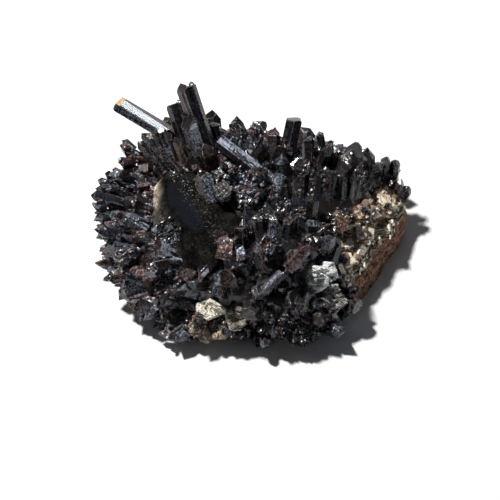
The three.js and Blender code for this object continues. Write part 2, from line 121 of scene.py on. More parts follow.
class Shape:
    """Flat faces as arrays: points in millimetres, the points of each face in turn, and how many each has. lie says
    how far each face corner lies along its crystal and around it, and looks how dusty, matt and rusty each face is,
    a value that the faces of one crystal share, how calm it is and how much it sparkles."""

    def __init__(self, points, corners, counts, lie=None, looks=None):
        self.points, self.corners, self.counts = points, corners, counts
        self.lie = np.zeros((len(corners), len(LIES))) if lie is None else lie
        self.looks = np.zeros((len(counts), len(LOOKS))) if looks is None else looks


def joined(shapes):
    """The shapes as one, the numbers of their points moved up by those that come before."""
    starts = np.cumsum([0] + [len(shape.points) for shape in shapes[:-1]])
    corners = np.concatenate([shape.corners + start for shape, start in zip(shapes, starts)])
    points, counts, lie, looks = (
        np.concatenate([getattr(shape, part) for shape in shapes]) for part in ("points", "counts", "lie", "looks")
    )
    return Shape(points, corners, counts, lie, looks)


def next_corners(counts):
    """The first corner of each face, and the corner that comes after each one on its face."""
    starts = np.cumsum(counts) - counts
    after = np.arange(counts.sum()) + 1
    after[starts + counts - 1] = starts
    return starts, after


def grid_faces(rows, columns, flip):
    """The four-sided faces between the points of a grid whose columns close on themselves, numbered row by row."""
    i, j = np.meshgrid(np.arange(rows - 1), np.arange(columns), indexing="ij")
    after = (j + 1) % columns
    faces = np.stack([i * columns + j, i * columns + after, (i + 1) * columns + after, (i + 1) * columns + j], -1)
    return (faces[..., [0, 3, 2, 1]] if flip else faces).ravel()


def set_all(thing, **settings):
    for key, value in settings.items():
        setattr(thing, key, value)


def put_in(name, data):
    """A new object of that name in the scene."""
    made = bpy.data.objects.new(name, data)
    bpy.context.scene.collection.objects.link(made)
    return made


def settle(name, shape, finish, slot, *nodes):
    """The shape as a piece of the cluster, with its lie and looks as attributes, in place of its nodes."""
    mesh = bpy.data.meshes.new(name)
    mesh.vertices.add(len(shape.points))
    mesh.vertices.foreach_set("co", (shape.points * MM).astype(np.float32).ravel())
    mesh.loops.add(len(shape.corners))
    mesh.loops.foreach_set("vertex_index", shape.corners.astype(np.int32))
    mesh.polygons.add(len(shape.counts))
    mesh.polygons.foreach_set("loop_start", next_corners(shape.counts)[0].astype(np.int32))
    mesh.update(calc_edges=True)
    for domain, keys, values in (("CORNER", LIES, shape.lie), ("FACE", LOOKS, shape.looks)):
        for key, column in zip(keys, values.T):
            mesh.attributes.new(key, "FLOAT", domain).data.foreach_set("value", column.astype(np.float32))
    mesh.polygons.foreach_set("use_smooth", np.zeros(len(shape.counts), bool))
    mesh.materials.append(finish)
    piece = put_in(name, mesh)
    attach(piece, "root")
    if nodes:
        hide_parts(*nodes)


# Points nearer than SAME_POINT metres are one, and so are faces that turn by less than SAME_FACE degrees. Edges
# that turn by more than RIDGE degrees are worn by WEAR millimetres.
SAME_POINT = 1e-6
SAME_FACE = 1.5
RIDGE = 25
WEAR = 0.13


def worn_solid(node, edge):
    """A copy of a node's mesh, its doubles merged, its flat faces whole and its edges worn, or sharp for 0."""
    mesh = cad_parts[node].data.copy()
    work = bmesh.new()
    work.from_mesh(mesh)
    bmesh.ops.remove_doubles(work, verts=work.verts, dist=SAME_POINT)
    bmesh.ops.dissolve_limit(work, angle_limit=SAME_FACE * RAD, verts=work.verts, edges=work.edges)
    work.to_mesh(mesh)
    work.free()
    if not edge:
        return mesh
    blank = put_in(node + "_blank", mesh)
    bevel = blank.modifiers.new("worn edges", "BEVEL")
    set_all(bevel, width=edge * MM, segments=1, limit_method="ANGLE", angle_limit=RIDGE * RAD,
            use_clamp_overlap=False)
    worn = bpy.data.meshes.new_from_object(blank.evaluated_get(bpy.context.evaluated_depsgraph_get()))
    bpy.data.objects.remove(blank)
    return worn


# Faces that stand out: [a point on it, its facing, how far its middle may lie from that, and its looks but for kin].
FACES = [
    [(-43.4, 34.9, 48.1), (0.117, -0.076, 0.99), 30, 0, 0, 0, 1, 0],
    [(-45.3, 32.4, 46.6), (-0.413, -0.764, 0.495), 30, 0.3, 0.1, 0.3, 0, 0.1],
    [(-2.7, 9.8, 47.8), (0.381, -0.251, 0.89), 20, 1, 0.1, 0, 0, 0.25],
    [(-22.7, 18.1, 54.2), (0.464, -0.687, 0.559), 16, 0.9, 0.1, 0.1, 0, 0.1],
    [(-23.1, 28, 62.2), (0.103, -0.836, 0.539), 16, 0.05, 0.05, 0.1, 0, 0],
    [(-15.3, -0.8, 46.4), (0.368, -0.754, 0.545), 12, 0.95, 0.9, 0, 0, 0.6],
    [(17.8, -24.2, 33.2), (-0.373, -0.373, 0.85), 14, 0.8, 0.2, 0.1, 0, 0.2],
    [(-7.9, -25.7, 36.2), (-0.053, -0.857, 0.512), 10, 0.9, 0.3, 0.85, 0, 0.3],
    [(-3.8, -25.1, 34.3), (0.25, -0.334, 0.909), 10, 1, 0.1, 0, 0, 1],
    [(6.8, -39.1, 28.8), (0.675, -0.29, 0.679), 14, 0.6, 0.05, 0, 0, 0.7],
    [(-25.7, 15, 43.4), (0.57, -0.68, 0.45), 6, 0.9, 0.2, 1.1, 0, 0.3],
    [(-27.2, 15.6, 46.1), (-0.38, -0.9, 0.23), 6, 0.9, 0.2, 0.9, 0, 0.3],
    [(9.6, -3.6, 40.9), (-0.22, -0.64, 0.73), 8, 0.6, 0.1, 0.1, 0, 0.2],
    [(-44.3, -28, 15), (-0.17, -0.51, 0.84), 8, 0.4, 0.1, 0.5, 0, 0.2],
    [(1.9, -36.6, 25.1), (-0.28, -0.19, 0.94), 8, 0.3, 0.05, 0, 0, 1],
    [(17.3, 18.5, 37.9), (0.23, 0.03, 0.97), 8, 0.3, 0.05, 0, 0, 1],
]
# How far a face may lie off that point and how alike the facings have to be, as the cosine of their angle.
OFF_FACE = 1
ALIKE = 0.985
# A face narrower than this is a worn edge.
EDGE_WIDTH = 0.45
EDGE_LOOKS = (0.5, 0.1, 0.45)
# Faces larger than this, in square millimetres, are cleaner the larger they are.
LARGE_FACE = 22
# What the faces listed have in common with crystals of the cool film: grey dust whose blue tint is a painted sky
# reflection.
COOL = 0.2
# How dusty, matt and so on any other face is at most, and how rare that is, as a power of an even chance.
FACE_LOOKS = [(DUST, 0.7, 5), (MATT, 0.3, 3), (RUST, 0.7, 8), (KIN, 1, 1), (SPARK, 1, 2)]


def face_middles(shape):
    """The mean of each face's corners, its normal and its area, from its corners' turns about that mean."""
    starts, after = next_corners(shape.counts)
    corner = shape.points[shape.corners]
    middle = np.add.reduceat(corner, starts) / shape.counts[:, None]
    spoke = corner - np.repeat(middle, shape.counts, axis=0)
    square = np.add.reduceat(np.cross(spoke, spoke[after]), starts)
    return middle, unit(square), length(square) / 2


def read(items, key, width, kind):
    values = np.empty(len(items) * width, kind)
    items.foreach_get(key, values)
    return values


def solid_shape(mesh, chance):
    """A mesh as a shape. Along follows a face's longest edge, the way that its crystal grew, and around is square
    to that. Most faces are clean, a few dusty or matt, worn edges a little rusty, and FACES as listed."""
    points = read(mesh.vertices, "co", 3, np.float32).reshape(-1, 3).astype(float) / MM
    corners = read(mesh.loops, "vertex_index", 1, np.int32)
    counts = read(mesh.polygons, "loop_total", 1, np.int32)
    face = np.repeat(np.arange(len(counts)), counts)
    starts, after = next_corners(counts)
    edge = points[corners[after]] - points[corners]
    long = length(edge)
    top = np.lexsort((long, face))[starts + counts - 1]
    longest = unit(edge[top])
    shape = Shape(points, corners, counts)
    looks = shape.looks
    for look, most, rare in FACE_LOOKS:
        looks[:, look] = most * chance.random(len(counts)) ** rare
    middle, normal, area = face_middles(shape)
    ways = longest, np.cross(normal, longest)
    shape.lie = np.stack([np.sum(points[corners] * way[face], axis=1) for way in ways], -1)
    looks[:, [DUST, RUST, SPARK]] *= np.clip(LARGE_FACE / np.maximum(area, 1e-6), 0.1, 1)[:, None]
    worn = area / np.maximum(long[top], 1e-6) < EDGE_WIDTH
    looks[worn, :3] = EDGE_LOOKS
    for place, facing, reach, *own in FACES:
        here = np.abs(np.sum((middle - place) * normal, axis=1)) < OFF_FACE
        here &= normal @ unit(np.array(facing)) > ALIKE
        here &= length(middle - place) < reach
        looks[here] = [*own[:3], COOL, *own[3:]]
    return shape


# ---- quartz prisms ----


# Room kept clear of druse: [place, facing, radius], and from how deep to how high over it.
CLEAR = [
    [(26, -30, 25), (-0.07, -0.52, 0.85), 7], [(32, -34, 18), (0.31, -0.53, 0.79), 4.5],
    [(-15, -39, 17), (-0.23, -0.63, 0.74), 5.5], [(-4, -41, 16), (0.15, -0.55, 0.82), 5.8],
    [(-13, -9, 38.5), (0.12, -0.06, 0.99), 8], [(-20, -2, 40), (0.12, -0.06, 0.99), 6],
    [(-31, 0, 37), (-0.53, -0.39, 0.75), 7], [(-20, -20, 34), (-0.36, -0.62, 0.69), 6],
    [(-9.5, 13.5, 50), (0.38, -0.25, 0.89), 4], [(-2.7, 9.8, 47.8), (0.38, -0.25, 0.89), 4.5],
    [(3.5, 6.5, 45), (0.38, -0.25, 0.89), 4], [(-15.3, -0.8, 46.4), (0.37, -0.75, 0.55), 4],
    [(-8.4, -25.7, 36.2), (-0.05, -0.86, 0.51), 2.6], [(17.8, -24.2, 33.2), (-0.37, -0.37, 0.85), 4],
    [(6.8, -39.1, 28.8), (0.68, -0.29, 0.68), 4.5], [(19, 2, 38), (0, -0.8, 0.6), 4],
    [(24, 3, 38), (0, -0.8, 0.6), 5], [(30, 1, 35), (0.2, -0.8, 0.6), 4.5], [(37, 4, 32), (0.2, -0.8, 0.6), 4],
    [(45, 2, 25), (0.6, -0.3, 0.74), 7], [(41, -9, 22), (0.55, -0.4, 0.74), 7],
    [(51, 10, 22), (0.6, -0.2, 0.77), 7], [(38, -18, 19), (0.5, -0.5, 0.7), 6],
    [(56, 16, 19), (0.7, 0, 0.7), 5],
]
CLEAR_DEPTH = (-0.8, 9)


def in_the_way(points):
    """Which points stand over a clear place: within its radius of its middle line, and within the depth."""
    over = np.zeros(points.shape[:-1], bool)
    for place, facing, radius in CLEAR:
        facing = unit(np.array(facing))
        offset = points - place
        height = offset @ facing
        aside = length(offset - height[..., None] * facing)
        over |= (aside < radius) & (height > CLEAR_DEPTH[0]) & (height < CLEAR_DEPTH[1])
    return over


def in_box(points):
    """Which of the groups of points lie wholly within the cluster's box."""
    return np.all((points > BOX_LOW) & (points < BOX_HIGH), axis=(1, 2))


def prisms(root, axis, long, wide, chance, turn, dusty, rusty, clear):
    """Closed six-sided prisms, one for each root. Corner k stands at root + reach * (cos(60k + turn) * front +
    sin(60k + turn) * side). The sides draw in evenly up to six uneven shoulders, and six faces lean from those to
    the tip. With a turn given they stand parallel, to a few degrees. None leaves the cluster's box."""
    count = len(root)
    front, side = across(axis)
    first = 60 * chance.random((count, 1)) if turn is None else turn + 10 * (chance.random((count, 1)) - 0.5)
    spin = (60 * np.arange(6) + first) * RAD
    spoke = np.cos(spin)[..., None] * front[:, None] + np.sin(spin)[..., None] * side[:, None]
    uneven = 0.3 if turn is None else 0.15
    reach = wide[:, None] / 2 * (1.03 + uneven * (chance.random((count, 6)) - 0.5))
    drop = 0.62 + 1.5 * uneven * (chance.random((count, 6)) - 0.5)
    lift = np.clip(1 - wide[:, None] / long[:, None] * drop, 0.25, 1)
    draw_in = 0.14 * chance.random((count, 1))
    foot = root[:, None] + spoke * reach[..., None]
    shoulder = root[:, None] + spoke * (reach * (1 - draw_in * lift))[..., None]
    shoulder = shoulder + axis[:, None] * (lift * long[:, None])[..., None]
    aside = (chance.random((count, 2)) - 0.5) * wide[:, None] * uneven
    tip = root + axis * long[:, None] + front * aside[:, :1] + side * aside[:, 1:]
    points = np.concatenate([foot, shoulder, tip[:, None]], axis=1)
    inside = in_box(points)
    if clear:
        inside &= ~np.any(in_the_way(points), axis=1)
    points, long, lift, reach = points[inside], long[inside], lift[inside], reach[inside]
    count = len(points)

    # Each has 13 points, six feet, six shoulders and a tip, and 13 faces, six sides, six end faces and a base.
    k = np.arange(6)
    after = (k + 1) % 6
    sides = np.stack([k, after, after + 6, k + 6], 1).ravel()
    ends = np.stack([k + 6, after + 6, np.full(6, 12)], 1).ravel()
    one = np.concatenate([sides, ends, k[::-1]])
    counts = np.tile([4] * 6 + [3] * 6 + [6], count)
    corners = (one[None] + 13 * np.arange(count)[:, None]).ravel()
    climb = np.concatenate([np.zeros((count, 6)), lift * long[:, None], long[:, None]], axis=1)
    along = climb + 40 * chance.random((count, 1))
    around = np.concatenate([k, k, [3]]) * reach.mean(1)[:, None] + 40 * chance.random((count, 1))
    faces = len(counts)
    kin, dust = chance.random(count), dusty * chance.random(count) ** 1.5
    own_dust, matt = 0.5 * chance.random(faces) ** 5, 0.3 * chance.random(faces) ** 3
    rust = rusty * chance.random(count) ** 3
    dust, rust, kin = (np.repeat(value, 13) for value in (dust, rust, kin))
    looks = np.stack([dust + own_dust, matt, rust, kin, np.zeros(faces), chance.random(faces)], -1)
    lie = np.stack([along[:, one].ravel(), around[:, one].ravel()], -1)
    return Shape(points.reshape(-1, 3), corners, counts, lie, looks)


# ---- the mound under the quartz ----

# How far the mound reaches from its middle at every 22.5 degrees, where that middle is, how far it has moved at the
# top, and how high the top is. SIDE is the share of the reach at each height: [height, covered side, bare side].
REACH = np.array([52.5, 68, 56, 48, 46, 47, 50, 52, 52, 47, 41, 36, 35, 40, 42.5, 45.5])
MIDDLE = np.array([2, -5])
TOP_SHIFT = np.array([-8, 12])
TOP = 39.5
SIDE = np.array([
    [0, 0.86, 0.99], [4, 0.95, 1], [8, 1, 0.98], [9, 1, 0.965], [13, 0.99, 0.965],
    [14, 0.98, 0.975], [20, 0.93, 0.91], [27, 0.8, 0.75], [33, 0.57, 0.53],
    [37, 0.33, 0.32], [TOP, 0, 0],
])
# Where the middle of the bare side is and how far it goes each way, in degrees.
BARE_HEADING = -12
BARE_SPREAD = 62


def reach_at(angle):
    """The mound's reach at each angle: a smooth curve through the listed reaches, 22.5 degrees apart."""
    turn = np.mod(angle, 360) / 22.5
    at = np.floor(turn).astype(int)
    t = turn - at
    a, b, c, d = (REACH[(at + k) % 16] for k in (-1, 0, 1, 2))
    return b + 0.5 * t * (c - a + t * (2 * a - 5 * b + 4 * c - d + t * (3 * (b - c) + d - a)))


def from_bare(angle):
    """How many degrees each angle lies from the middle of the bare side."""
    return np.abs(np.mod(angle - BARE_HEADING + 180, 360) - 180)


def bareness(angle):
    """1 in the middle of the bare side, 0 where quartz covers it, and a quarter wave between."""
    away = from_bare(angle)
    return np.where(away < BARE_SPREAD, np.cos(np.minimum(away / BARE_SPREAD, 1) * 90 * RAD), 0)


def side_share(height, bare):
    """The share of the reach at each height, from the covered side's to the bare side's."""
    return np.interp(height, SIDE[:, 0], SIDE[:, 1]) * (1 - bare) + np.interp(height, SIDE[:, 0], SIDE[:, 2]) * bare


def mound_axis(height):
    """The mound's middle at each height, which moves with the square of the height."""
    return MIDDLE + TOP_SHIFT * (np.clip(height, 0, TOP) / TOP)[..., None] ** 2


def stand_off(points):
    """How far each point stands off the mound: its level and upright distances, taken together."""
    level = points[:, :2] - mound_axis(points[:, 2])
    angle = np.degrees(np.arctan2(level[:, 1], level[:, 0]))
    out = length(level)
    reach = reach_at(angle)
    beside = np.maximum(out - side_share(points[:, 2], bareness(angle)) * reach, 0.01)
    above = np.maximum(points[:, 2] - np.interp(out / reach, SIDE[::-1, 1], SIDE[::-1, 0]), 0.01)
    return beside * above / np.hypot(beside, above)


# ---- finishes ----


def both_ways(operation):
    """An operator of Value and its reflected form."""
    return (lambda value, other: value.math(operation, value, other),
            lambda value, other: value.math(operation, other, value))


class Value:
    """A number that varies over a surface. An expression on values adds its Math nodes."""

    def __init__(self, finish, socket):
        self.finish = finish
        self.socket = socket

    def math(self, operation, first, second):
        return self.finish.node("Math", {"operation": operation}, {0: first, 1: second})

    __add__, __radd__ = both_ways("ADD")
    __sub__, __rsub__ = both_ways("SUBTRACT")
    __mul__, __rmul__ = both_ways("MULTIPLY")

    def above(self, low, high):
        """0 up to low, 1 from high, and a smooth climb between."""
        settings = {"interpolation_type": "SMOOTHSTEP"}
        return self.finish.node("MapRange", settings, {"Value": self, "From Min": low, "From Max": high})

    def peak(self, other):
        return self.math("MAXIMUM", self, other)


class Finish:
    """A material's nodes, made by name with their settings and the values or links of their sockets."""

    def __init__(self, name):
        self.material = bpy.data.materials.new(name)
        self.material.use_nodes = True
        self.tree = self.material.node_tree
        self.tree.nodes.clear()
        # Where the surface is, in metres.
        self.place = self.node("TexCoord", output="Object")

    def node(self, kind, settings=None, sockets=None, output=0):
        made = self.tree.nodes.new("ShaderNode" + kind)
        for key, value in (settings or {}).items():
            if key == "stops":
                ramp = made.color_ramp
                while len(ramp.elements) < len(value):
                    ramp.elements.new(0.5)
                for element, (place, *shade) in zip(ramp.elements, value):
                    element.position = place
                    element.color = color(*shade)
            else:
                setattr(made, key, value)
        for key, value in (sockets or {}).items():
            if isinstance(value, Value):
                self.tree.links.new(value.socket, made.inputs[key])
            else:
                made.inputs[key].default_value = value
        return Value(self, made.outputs[output])

    def attribute(self, name):
        return self.node("Attribute", {"attribute_name": name}, output="Fac")

    def grain(self, per_mm, detail, rough=0.5):
        """A cloudy pattern from 0 to 1 with a number of lumps to the millimetre."""
        sockets = {"Vector": self.place, "Scale": per_mm / MM, "Detail": detail, "Roughness": rough}
        return self.node("TexNoise", None, sockets)

    def bands(self, value, scale, detail):
        """A cloudy pattern from 0 to 1 that changes with a value alone."""
        return self.node("TexNoise", {"noise_dimensions": "1D"}, {"W": value, "Scale": scale, "Detail": detail})

    def along(self, *direction):
        """How far the surface lies along a direction, in millimetres."""
        return self.vector("DOT_PRODUCT", {0: self.place, 1: direction}, "Value") * (1 / MM)

    def ramp(self, value, *stops):
        """The colours of the stops, each a place from 0 to 1 and a colour as a screen shows it, by a value."""
        return self.node("ValToRGB", {"stops": stops}, {"Fac": value})

    def mix(self, mask, first, second):
        """A colour that goes from the first to the second as the mask goes from 0 to 1."""
        first, second = (color(*c) if isinstance(c, tuple) else c for c in (first, second))
        return self.node("Mix", {"data_type": "RGBA"}, {0: mask, 6: first, 7: second}, output=2)

    def pair(self, first, second):
        """Two values as a place on a flat sheet."""
        return self.node("CombineXYZ", None, {0: first, 1: second})

    def vector(self, operation, sockets, output=0):
        return self.node("VectorMath", {"operation": operation}, sockets, output)

    def glitter(self, per_mm, amount):
        """The facing of the surface tipped another way in each small angular cell, by an amount."""
        cell = self.node("TexVoronoi", None, {"Vector": self.place, "Scale": per_mm / MM}, "Color")
        tipped = self.vector("SUBTRACT", {0: cell, 1: (0.5, 0.5, 0.5)})
        tipped = self.vector("SCALE", {0: tipped, "Scale": amount})
        facing = self.node("NewGeometry", output="Normal")
        return self.vector("NORMALIZE", {0: self.vector("ADD", {0: facing, 1: tipped})})

    def bump(self, height, depth_mm, strength, facing=None):
        sockets = {"Height": height, "Distance": depth_mm * MM, "Strength": strength}
        if facing:
            sockets["Normal"] = facing
        return self.node("Bump", None, sockets)

    def skin(self, tint, rough, sockets=None):
        return self.node("BsdfPrincipled", None, {"Base Color": tint, "Roughness": rough, **(sockets or {})})

    def close(self, surface, volume=None):
        out = self.tree.nodes.new("ShaderNodeOutputMaterial")
        self.tree.links.new(surface.socket, out.inputs["Surface"])
        if volume:
            self.tree.links.new(volume.socket, out.inputs["Volume"])
        return self.material

    def close_smoky(self, normal, rough, tint, film_rough, cover):
        """Clear smoky glass under a film of a tint, which hides as much of it as the cover says."""
        glass = self.skin(CLEAR_GLASS, rough, {"IOR": QUARTZ_IOR, "Transmission Weight": 1, "Normal": normal})
        film = self.skin(tint, film_rough, {"Normal": normal})
        surface = self.node("MixShader", None, {0: cover, 1: glass, 2: film})
        return self.close(surface, self.node("VolumeAbsorption", None, SMOKE))


def color(*screen):
    """A solid colour of three 0 to 255 numbers, as a screen shows it, turned into light."""
    return (*(float(((c / 255 + 0.055) / 1.055) ** 2.4) if c > 10 else c / 255 / 12.92 for c in screen), 1)


CLEAR_GLASS = (0.93, 0.9, 0.87, 1)
QUARTZ_IOR = 1.544
MICA_IOR = 1.58
SMOKE = {"Color": (0.52, 0.44, 0.39, 1), "Density": 4000}
# How far small facets tip where they glitter most, as a share of the facing's own length.
GLITTER = 0.9
# The blade's bright top face: where the middle of its width lies, half the width that is clear, and where its
# broken end begins.
BLADE = (2.36, 1.5, 69.2)


def smoky_quartz():
    """Clear smoky quartz, dark within a few millimetres, with growth lines across its sides and striae along
    them. A dusty film, grey-blue or brown by crystal, and a rusty one cover it as its looks say. The grey-blue
    film's blue and a thin film over every face are painted reflection of the surroundings. Tiny facets glitter."""
    f = Finish("smoky_quartz")
    dust, matt, rust, kin, calm, spark, along, around = (f.attribute(name) for name in (*LOOKS, "along", "around"))
    cloud = f.grain(0.2, 4)
    fine = f.grain(1.2, 5, 0.7)
    lines = f.bands(along, 1.6, 3)
    striae = f.node("TexNoise", {"noise_dimensions": "2D"}, {
        "Vector": f.pair(along * 0.09, around * 1.1), "Scale": 1, "Detail": 4, "Roughness": 0.65,
    })
    facing = f.glitter(2, spark * GLITTER)
    normal = f.bump((lines * 0.4 + striae * 0.6 + fine * 0.3) * (1 - calm), 0.08, 0.6, facing)
    rough = 0.05 + (matt + dust * 0.1 + spark * 0.22 + (cloud * fine).above(0.24, 0.5) * 0.2) * (1 - calm)
    even = matt.above(0.5, 0.8)
    texture = (fine * 0.5 + (striae * 0.35 + lines * 0.15) * (1 - even) + even * 0.25).above(0.44, 0.57)
    # The cool film is grey dust whose blue tint is a painted sky reflection.
    cool = f.mix(texture, (34, 37, 46), (178, 187, 206))
    warm = f.mix(texture, (42, 33, 34), (154, 126, 126))
    stain = (f.grain(0.35, 5) * 0.7 + rust * 0.6).above(0.54, 0.8)
    rusty = f.mix(texture, (48, 32, 28), (138, 102, 90))
    rusty = f.mix(rust.above(0.8, 1.2), rusty, f.mix(texture, (74, 56, 44), (216, 198, 168)))
    tint = f.mix(stain, f.mix(kin.above(0.35, 0.7), cool, warm), rusty)
    # The 0.05 film over every face is painted reflection of the surroundings, which lifts the dark glass.
    cover = (dust * (0.3 + texture * 0.7)).peak(stain * 0.6).peak(0.05) * (1 - calm)
    middle, half, end = BLADE
    aside = f.along(0.587, 0.81, 0) - middle
    border = (aside * aside).above((half - 0.2) ** 2, (half + 0.2) ** 2)
    broken = (f.along(-0.822, 0.539, 0.139) + (fine - 0.5) * 2).above(end, end + 0.5)
    tint = f.mix(calm * broken, tint, (186, 150, 108))
    tint = f.mix(calm * border * (1 - broken), tint, (58, 44, 36))
    cover = cover.peak(calm * border.peak(broken) * 0.9)
    return f.close_smoky(normal, rough, tint, 0.3 + even * 0.3, cover)


def broad_finish():
    """The broad crystal: an olive-brown hazy film on its left face with a whitish rim that is a painted highlight, a
    leaf-shaped patch left of its ridge with a painted bluish sheen, pale dots along that ridge that are painted
    glints, crinkled silvery growth on its shoulder and fine arcs low down. Its parts are found by how far the
    surface lies to the right and up the slope that faces the camera's side."""
    f = Finish("hazy_smoky_quartz")
    cloud = f.grain(0.22, 4)
    fine = f.grain(0.9, 5, 0.7)
    right = f.along(1, 0, 0) + (cloud - 0.5) * 6 + (fine - 0.5) * 2
    climb = f.along(0, 0.766, 0.643) + (cloud - 0.5) * 4 + (fine - 0.5) * 2
    beside, over = right + 25.5, climb - 20
    down = beside * 0.57 - over * 0.82
    aside = beside * 0.82 + over * 0.57
    leaf = 1 - (down * down * (1 / 12**2) + aside * aside * (1 / 4**2)).above(0.6, 1.3)
    left = 1 - (right + climb * 0.3).above(-29, -23)
    # rim marks the far left, high up, where a whitish painted highlight is laid on as a film.
    rim = (1 - (right - climb * 0.1).above(-39, -36.5)) * climb.above(15, 21)
    shoulder = (1 - (right - climb * 0.1).above(-29.5, -27.5)) * (1 - climb.above(11, 16))
    swing = (right + 12) * (right + 12) + (climb - 22) * (climb - 22)
    arcs = f.node("TexWave", {"wave_profile": "SIN"}, {
        "Vector": f.pair(swing * 0.0012, 0), "Scale": 1, "Distortion": 0,
    }, output="Fac") * (1 - climb.above(4, 9))
    texture = (fine * 0.55 + cloud * 0.45).above(0.42, 0.6)
    # Painted glints: pale dots in a line along the ridge.
    painted_glint_specks = f.grain(2, 2, 0.6).above(0.66, 0.7) * (1 - ((aside - 5) * (aside - 5)).above(4, 12))
    matt = 0.05 + left * 0.15 * (1 - leaf) + texture * 0.04
    facing = f.glitter(1.7, shoulder * GLITTER * (1 - leaf))
    normal = f.bump(fine * (0.08 + left * 0.5) * (1 - leaf) + arcs * 0.4, 0.12, 0.6, facing)
    # This tint carries the olive-brown hazing and, over it, a painted sheen, painted glints and a painted highlight.
    haze_and_painted_light = f.mix(texture, (30, 28, 27), (92, 85, 76))
    # Painted sheen: a bluish tint laid over the leaf-shaped patch.
    haze_and_painted_light = f.mix(leaf, haze_and_painted_light, (26, 35, 50))
    # Painted glints along the ridge, laid on as pale dots.
    haze_and_painted_light = f.mix(painted_glint_specks, haze_and_painted_light, (230, 226, 220))
    haze_and_painted_light = f.mix(shoulder, haze_and_painted_light, f.mix(texture, (30, 32, 36), (140, 146, 154)))
    # Painted highlight: a whitish rim along the upper left of the left face.
    haze_and_painted_light = f.mix(rim, haze_and_painted_light, (216, 200, 178))
    cover = (left * (0.2 + texture * 0.3)).peak(rim * (0.2 + texture * 0.8)).peak(shoulder * (0.15 + texture * 0.6))
    cover = cover.peak(arcs.above(0.6, 0.95) * texture * 0.2).peak(0.05 + texture * 0.06)
    # The leaf's thin film carries its painted bluish sheen.
    cover = (cover * (1 - leaf)).peak(leaf * (0.12 + fine * 0.12)).peak(painted_glint_specks * 0.8)
    return f.close_smoky(normal, matt, haze_and_painted_light, 0.65 - shoulder * 0.35, cover)


def rock_finish():
    """Layered rock: rusty brown below, thin olive-grey layers over it, and tan crust on top."""
    f = Finish("iron_stained_rock")
    height = f.along(0, 0, 1)
    cloud = f.grain(0.1, 5, 0.6)
    fine = f.grain(0.35, 6, 0.72)
    grit = f.grain(1.1, 4, 0.7)
    layer = height + (cloud - 0.5) * 6
    sheet = f.bands(layer, 1.1, 4)
    rough = fine * 0.35 + grit * 0.45 + sheet * 0.2
    rust = f.ramp(rough, (0.43, 27, 20, 17), (0.47, 74, 48, 36), (0.51, 124, 80, 54), (0.57, 184, 130, 92))
    olive = f.ramp(sheet * 0.35 + rough * 0.65,
                   (0.42, 34, 31, 27), (0.47, 86, 80, 66), (0.52, 132, 124, 104), (0.58, 196, 186, 160))
    crust = f.ramp(cloud * 0.15 + rough * 0.85,
                   (0.43, 26, 21, 20), (0.47, 82, 60, 48), (0.52, 164, 130, 104), (0.57, 236, 220, 192))
    tint = f.mix(layer.above(12, 14), rust, olive)
    tint = f.mix(layer.above(18, 20), tint, crust)
    normal = f.bump(fine * 0.4 + grit * 0.6 + sheet * 0.2, 0.9, 1)
    return f.close(f.skin(tint, 0.8 - fine * 0.2, {"Normal": normal}))


def crust_finish():
    """Feldspar of the crust: cream to tan-brown from one block to the next, with dark seams."""
    f = Finish("tan_feldspar")
    fine = f.grain(0.6, 5, 0.7)
    grit = f.grain(1.4, 3, 0.7)
    kin, dust = f.attribute("kin"), f.attribute("dust")
    tint = f.ramp(kin * 0.55 + fine * 0.3 + grit * 0.25,
                  (0.25, 52, 38, 32), (0.36, 134, 102, 82), (0.49, 196, 172, 144), (0.64, 248, 240, 222))
    tint = f.mix(dust * grit.above(0.35, 0.55), tint, (246, 240, 226))
    tint = f.mix(grit.above(0.54, 0.62) * 0.7, tint, (34, 27, 24))
    normal = f.bump(fine * 0.5 + grit * 0.5, 0.6, 0.9, f.glitter(1.4, 0.4))
    return f.close(f.skin(tint, 0.5 - fine * 0.25, {"Normal": normal}))


def flaky_finish(name, pale, dark, rim, gloss):
    """Mica or feldspar: pale cleavage faces with fine hatch lines, darker patches and a paler rim."""
    f = Finish(name)
    fine = f.grain(0.8, 5, 0.72)
    cloud = f.grain(0.25, 4, 0.6)
    dust = f.attribute("dust")
    hatch = f.node("TexWave", {"bands_direction": "DIAGONAL"}, {
        "Vector": f.place, "Scale": 0.5 / MM, "Distortion": 7, "Detail": 3, "Detail Scale": 1.5,
    }, output="Fac")
    shade = cloud * 0.45 + hatch * 0.2 + fine * 0.5
    tint = f.ramp(shade, (0.38, *dark), (0.54, *pale), (0.7, *rim))
    tint = f.mix(dust * 0.8, tint, rim)
    normal = f.bump(hatch * 0.4 + fine * 0.6, 0.5, 0.9, f.glitter(1.2, 0.35))
    return f.close(f.skin(tint, gloss + fine * 0.3, {"IOR": MICA_IOR, "Normal": normal}))


# ---- druse ----

# A reach wider than the cluster, the lowest place that druse grows at, and the share of a prism's length that is
# sunk in what carries it.
EVERYWHERE = 999
LOWEST_DRUSE = 2
SUNK = 0.35


def on_solid(shape, each, chance, near, keep, reach):
    """Points spread over a shape's faces, one to each so many square millimetres, with their normals. Only those
    less than near from the mound and within reach of keep are kept."""
    fan = shape.counts - 2
    first = np.repeat(np.cumsum(shape.counts) - shape.counts, fan)
    step = np.arange(len(first)) - np.repeat(np.cumsum(fan) - fan, fan)
    a, b, c = (shape.points[shape.corners[first + k]] for k in (0 * step, step + 1, step + 2))
    square = np.cross(b - a, c - a)
    middle = (a + b + c) / 3
    span = np.max([length(p - middle) for p in (a, b, c)], axis=0)
    area = length(square) / 2 * (length(middle - keep) < reach + span)
    count = int(area.sum() / each)
    if count == 0:
        return np.zeros((0, 3)), np.zeros((0, 3))
    pick = chance.choice(len(area), size=count, p=area / area.sum())
    u, v = chance.random((2, count, 1))
    fold = u + v > 1
    u, v = np.where(fold, 1 - u, u), np.where(fold, 1 - v, v)
    points = a[pick] + u * (b - a)[pick] + v * (c - a)[pick]
    good = (stand_off(points) < near) & (points[:, 2] > LOWEST_DRUSE) & (length(points - keep) < reach)
    return points[good], unit(square[pick])[good]


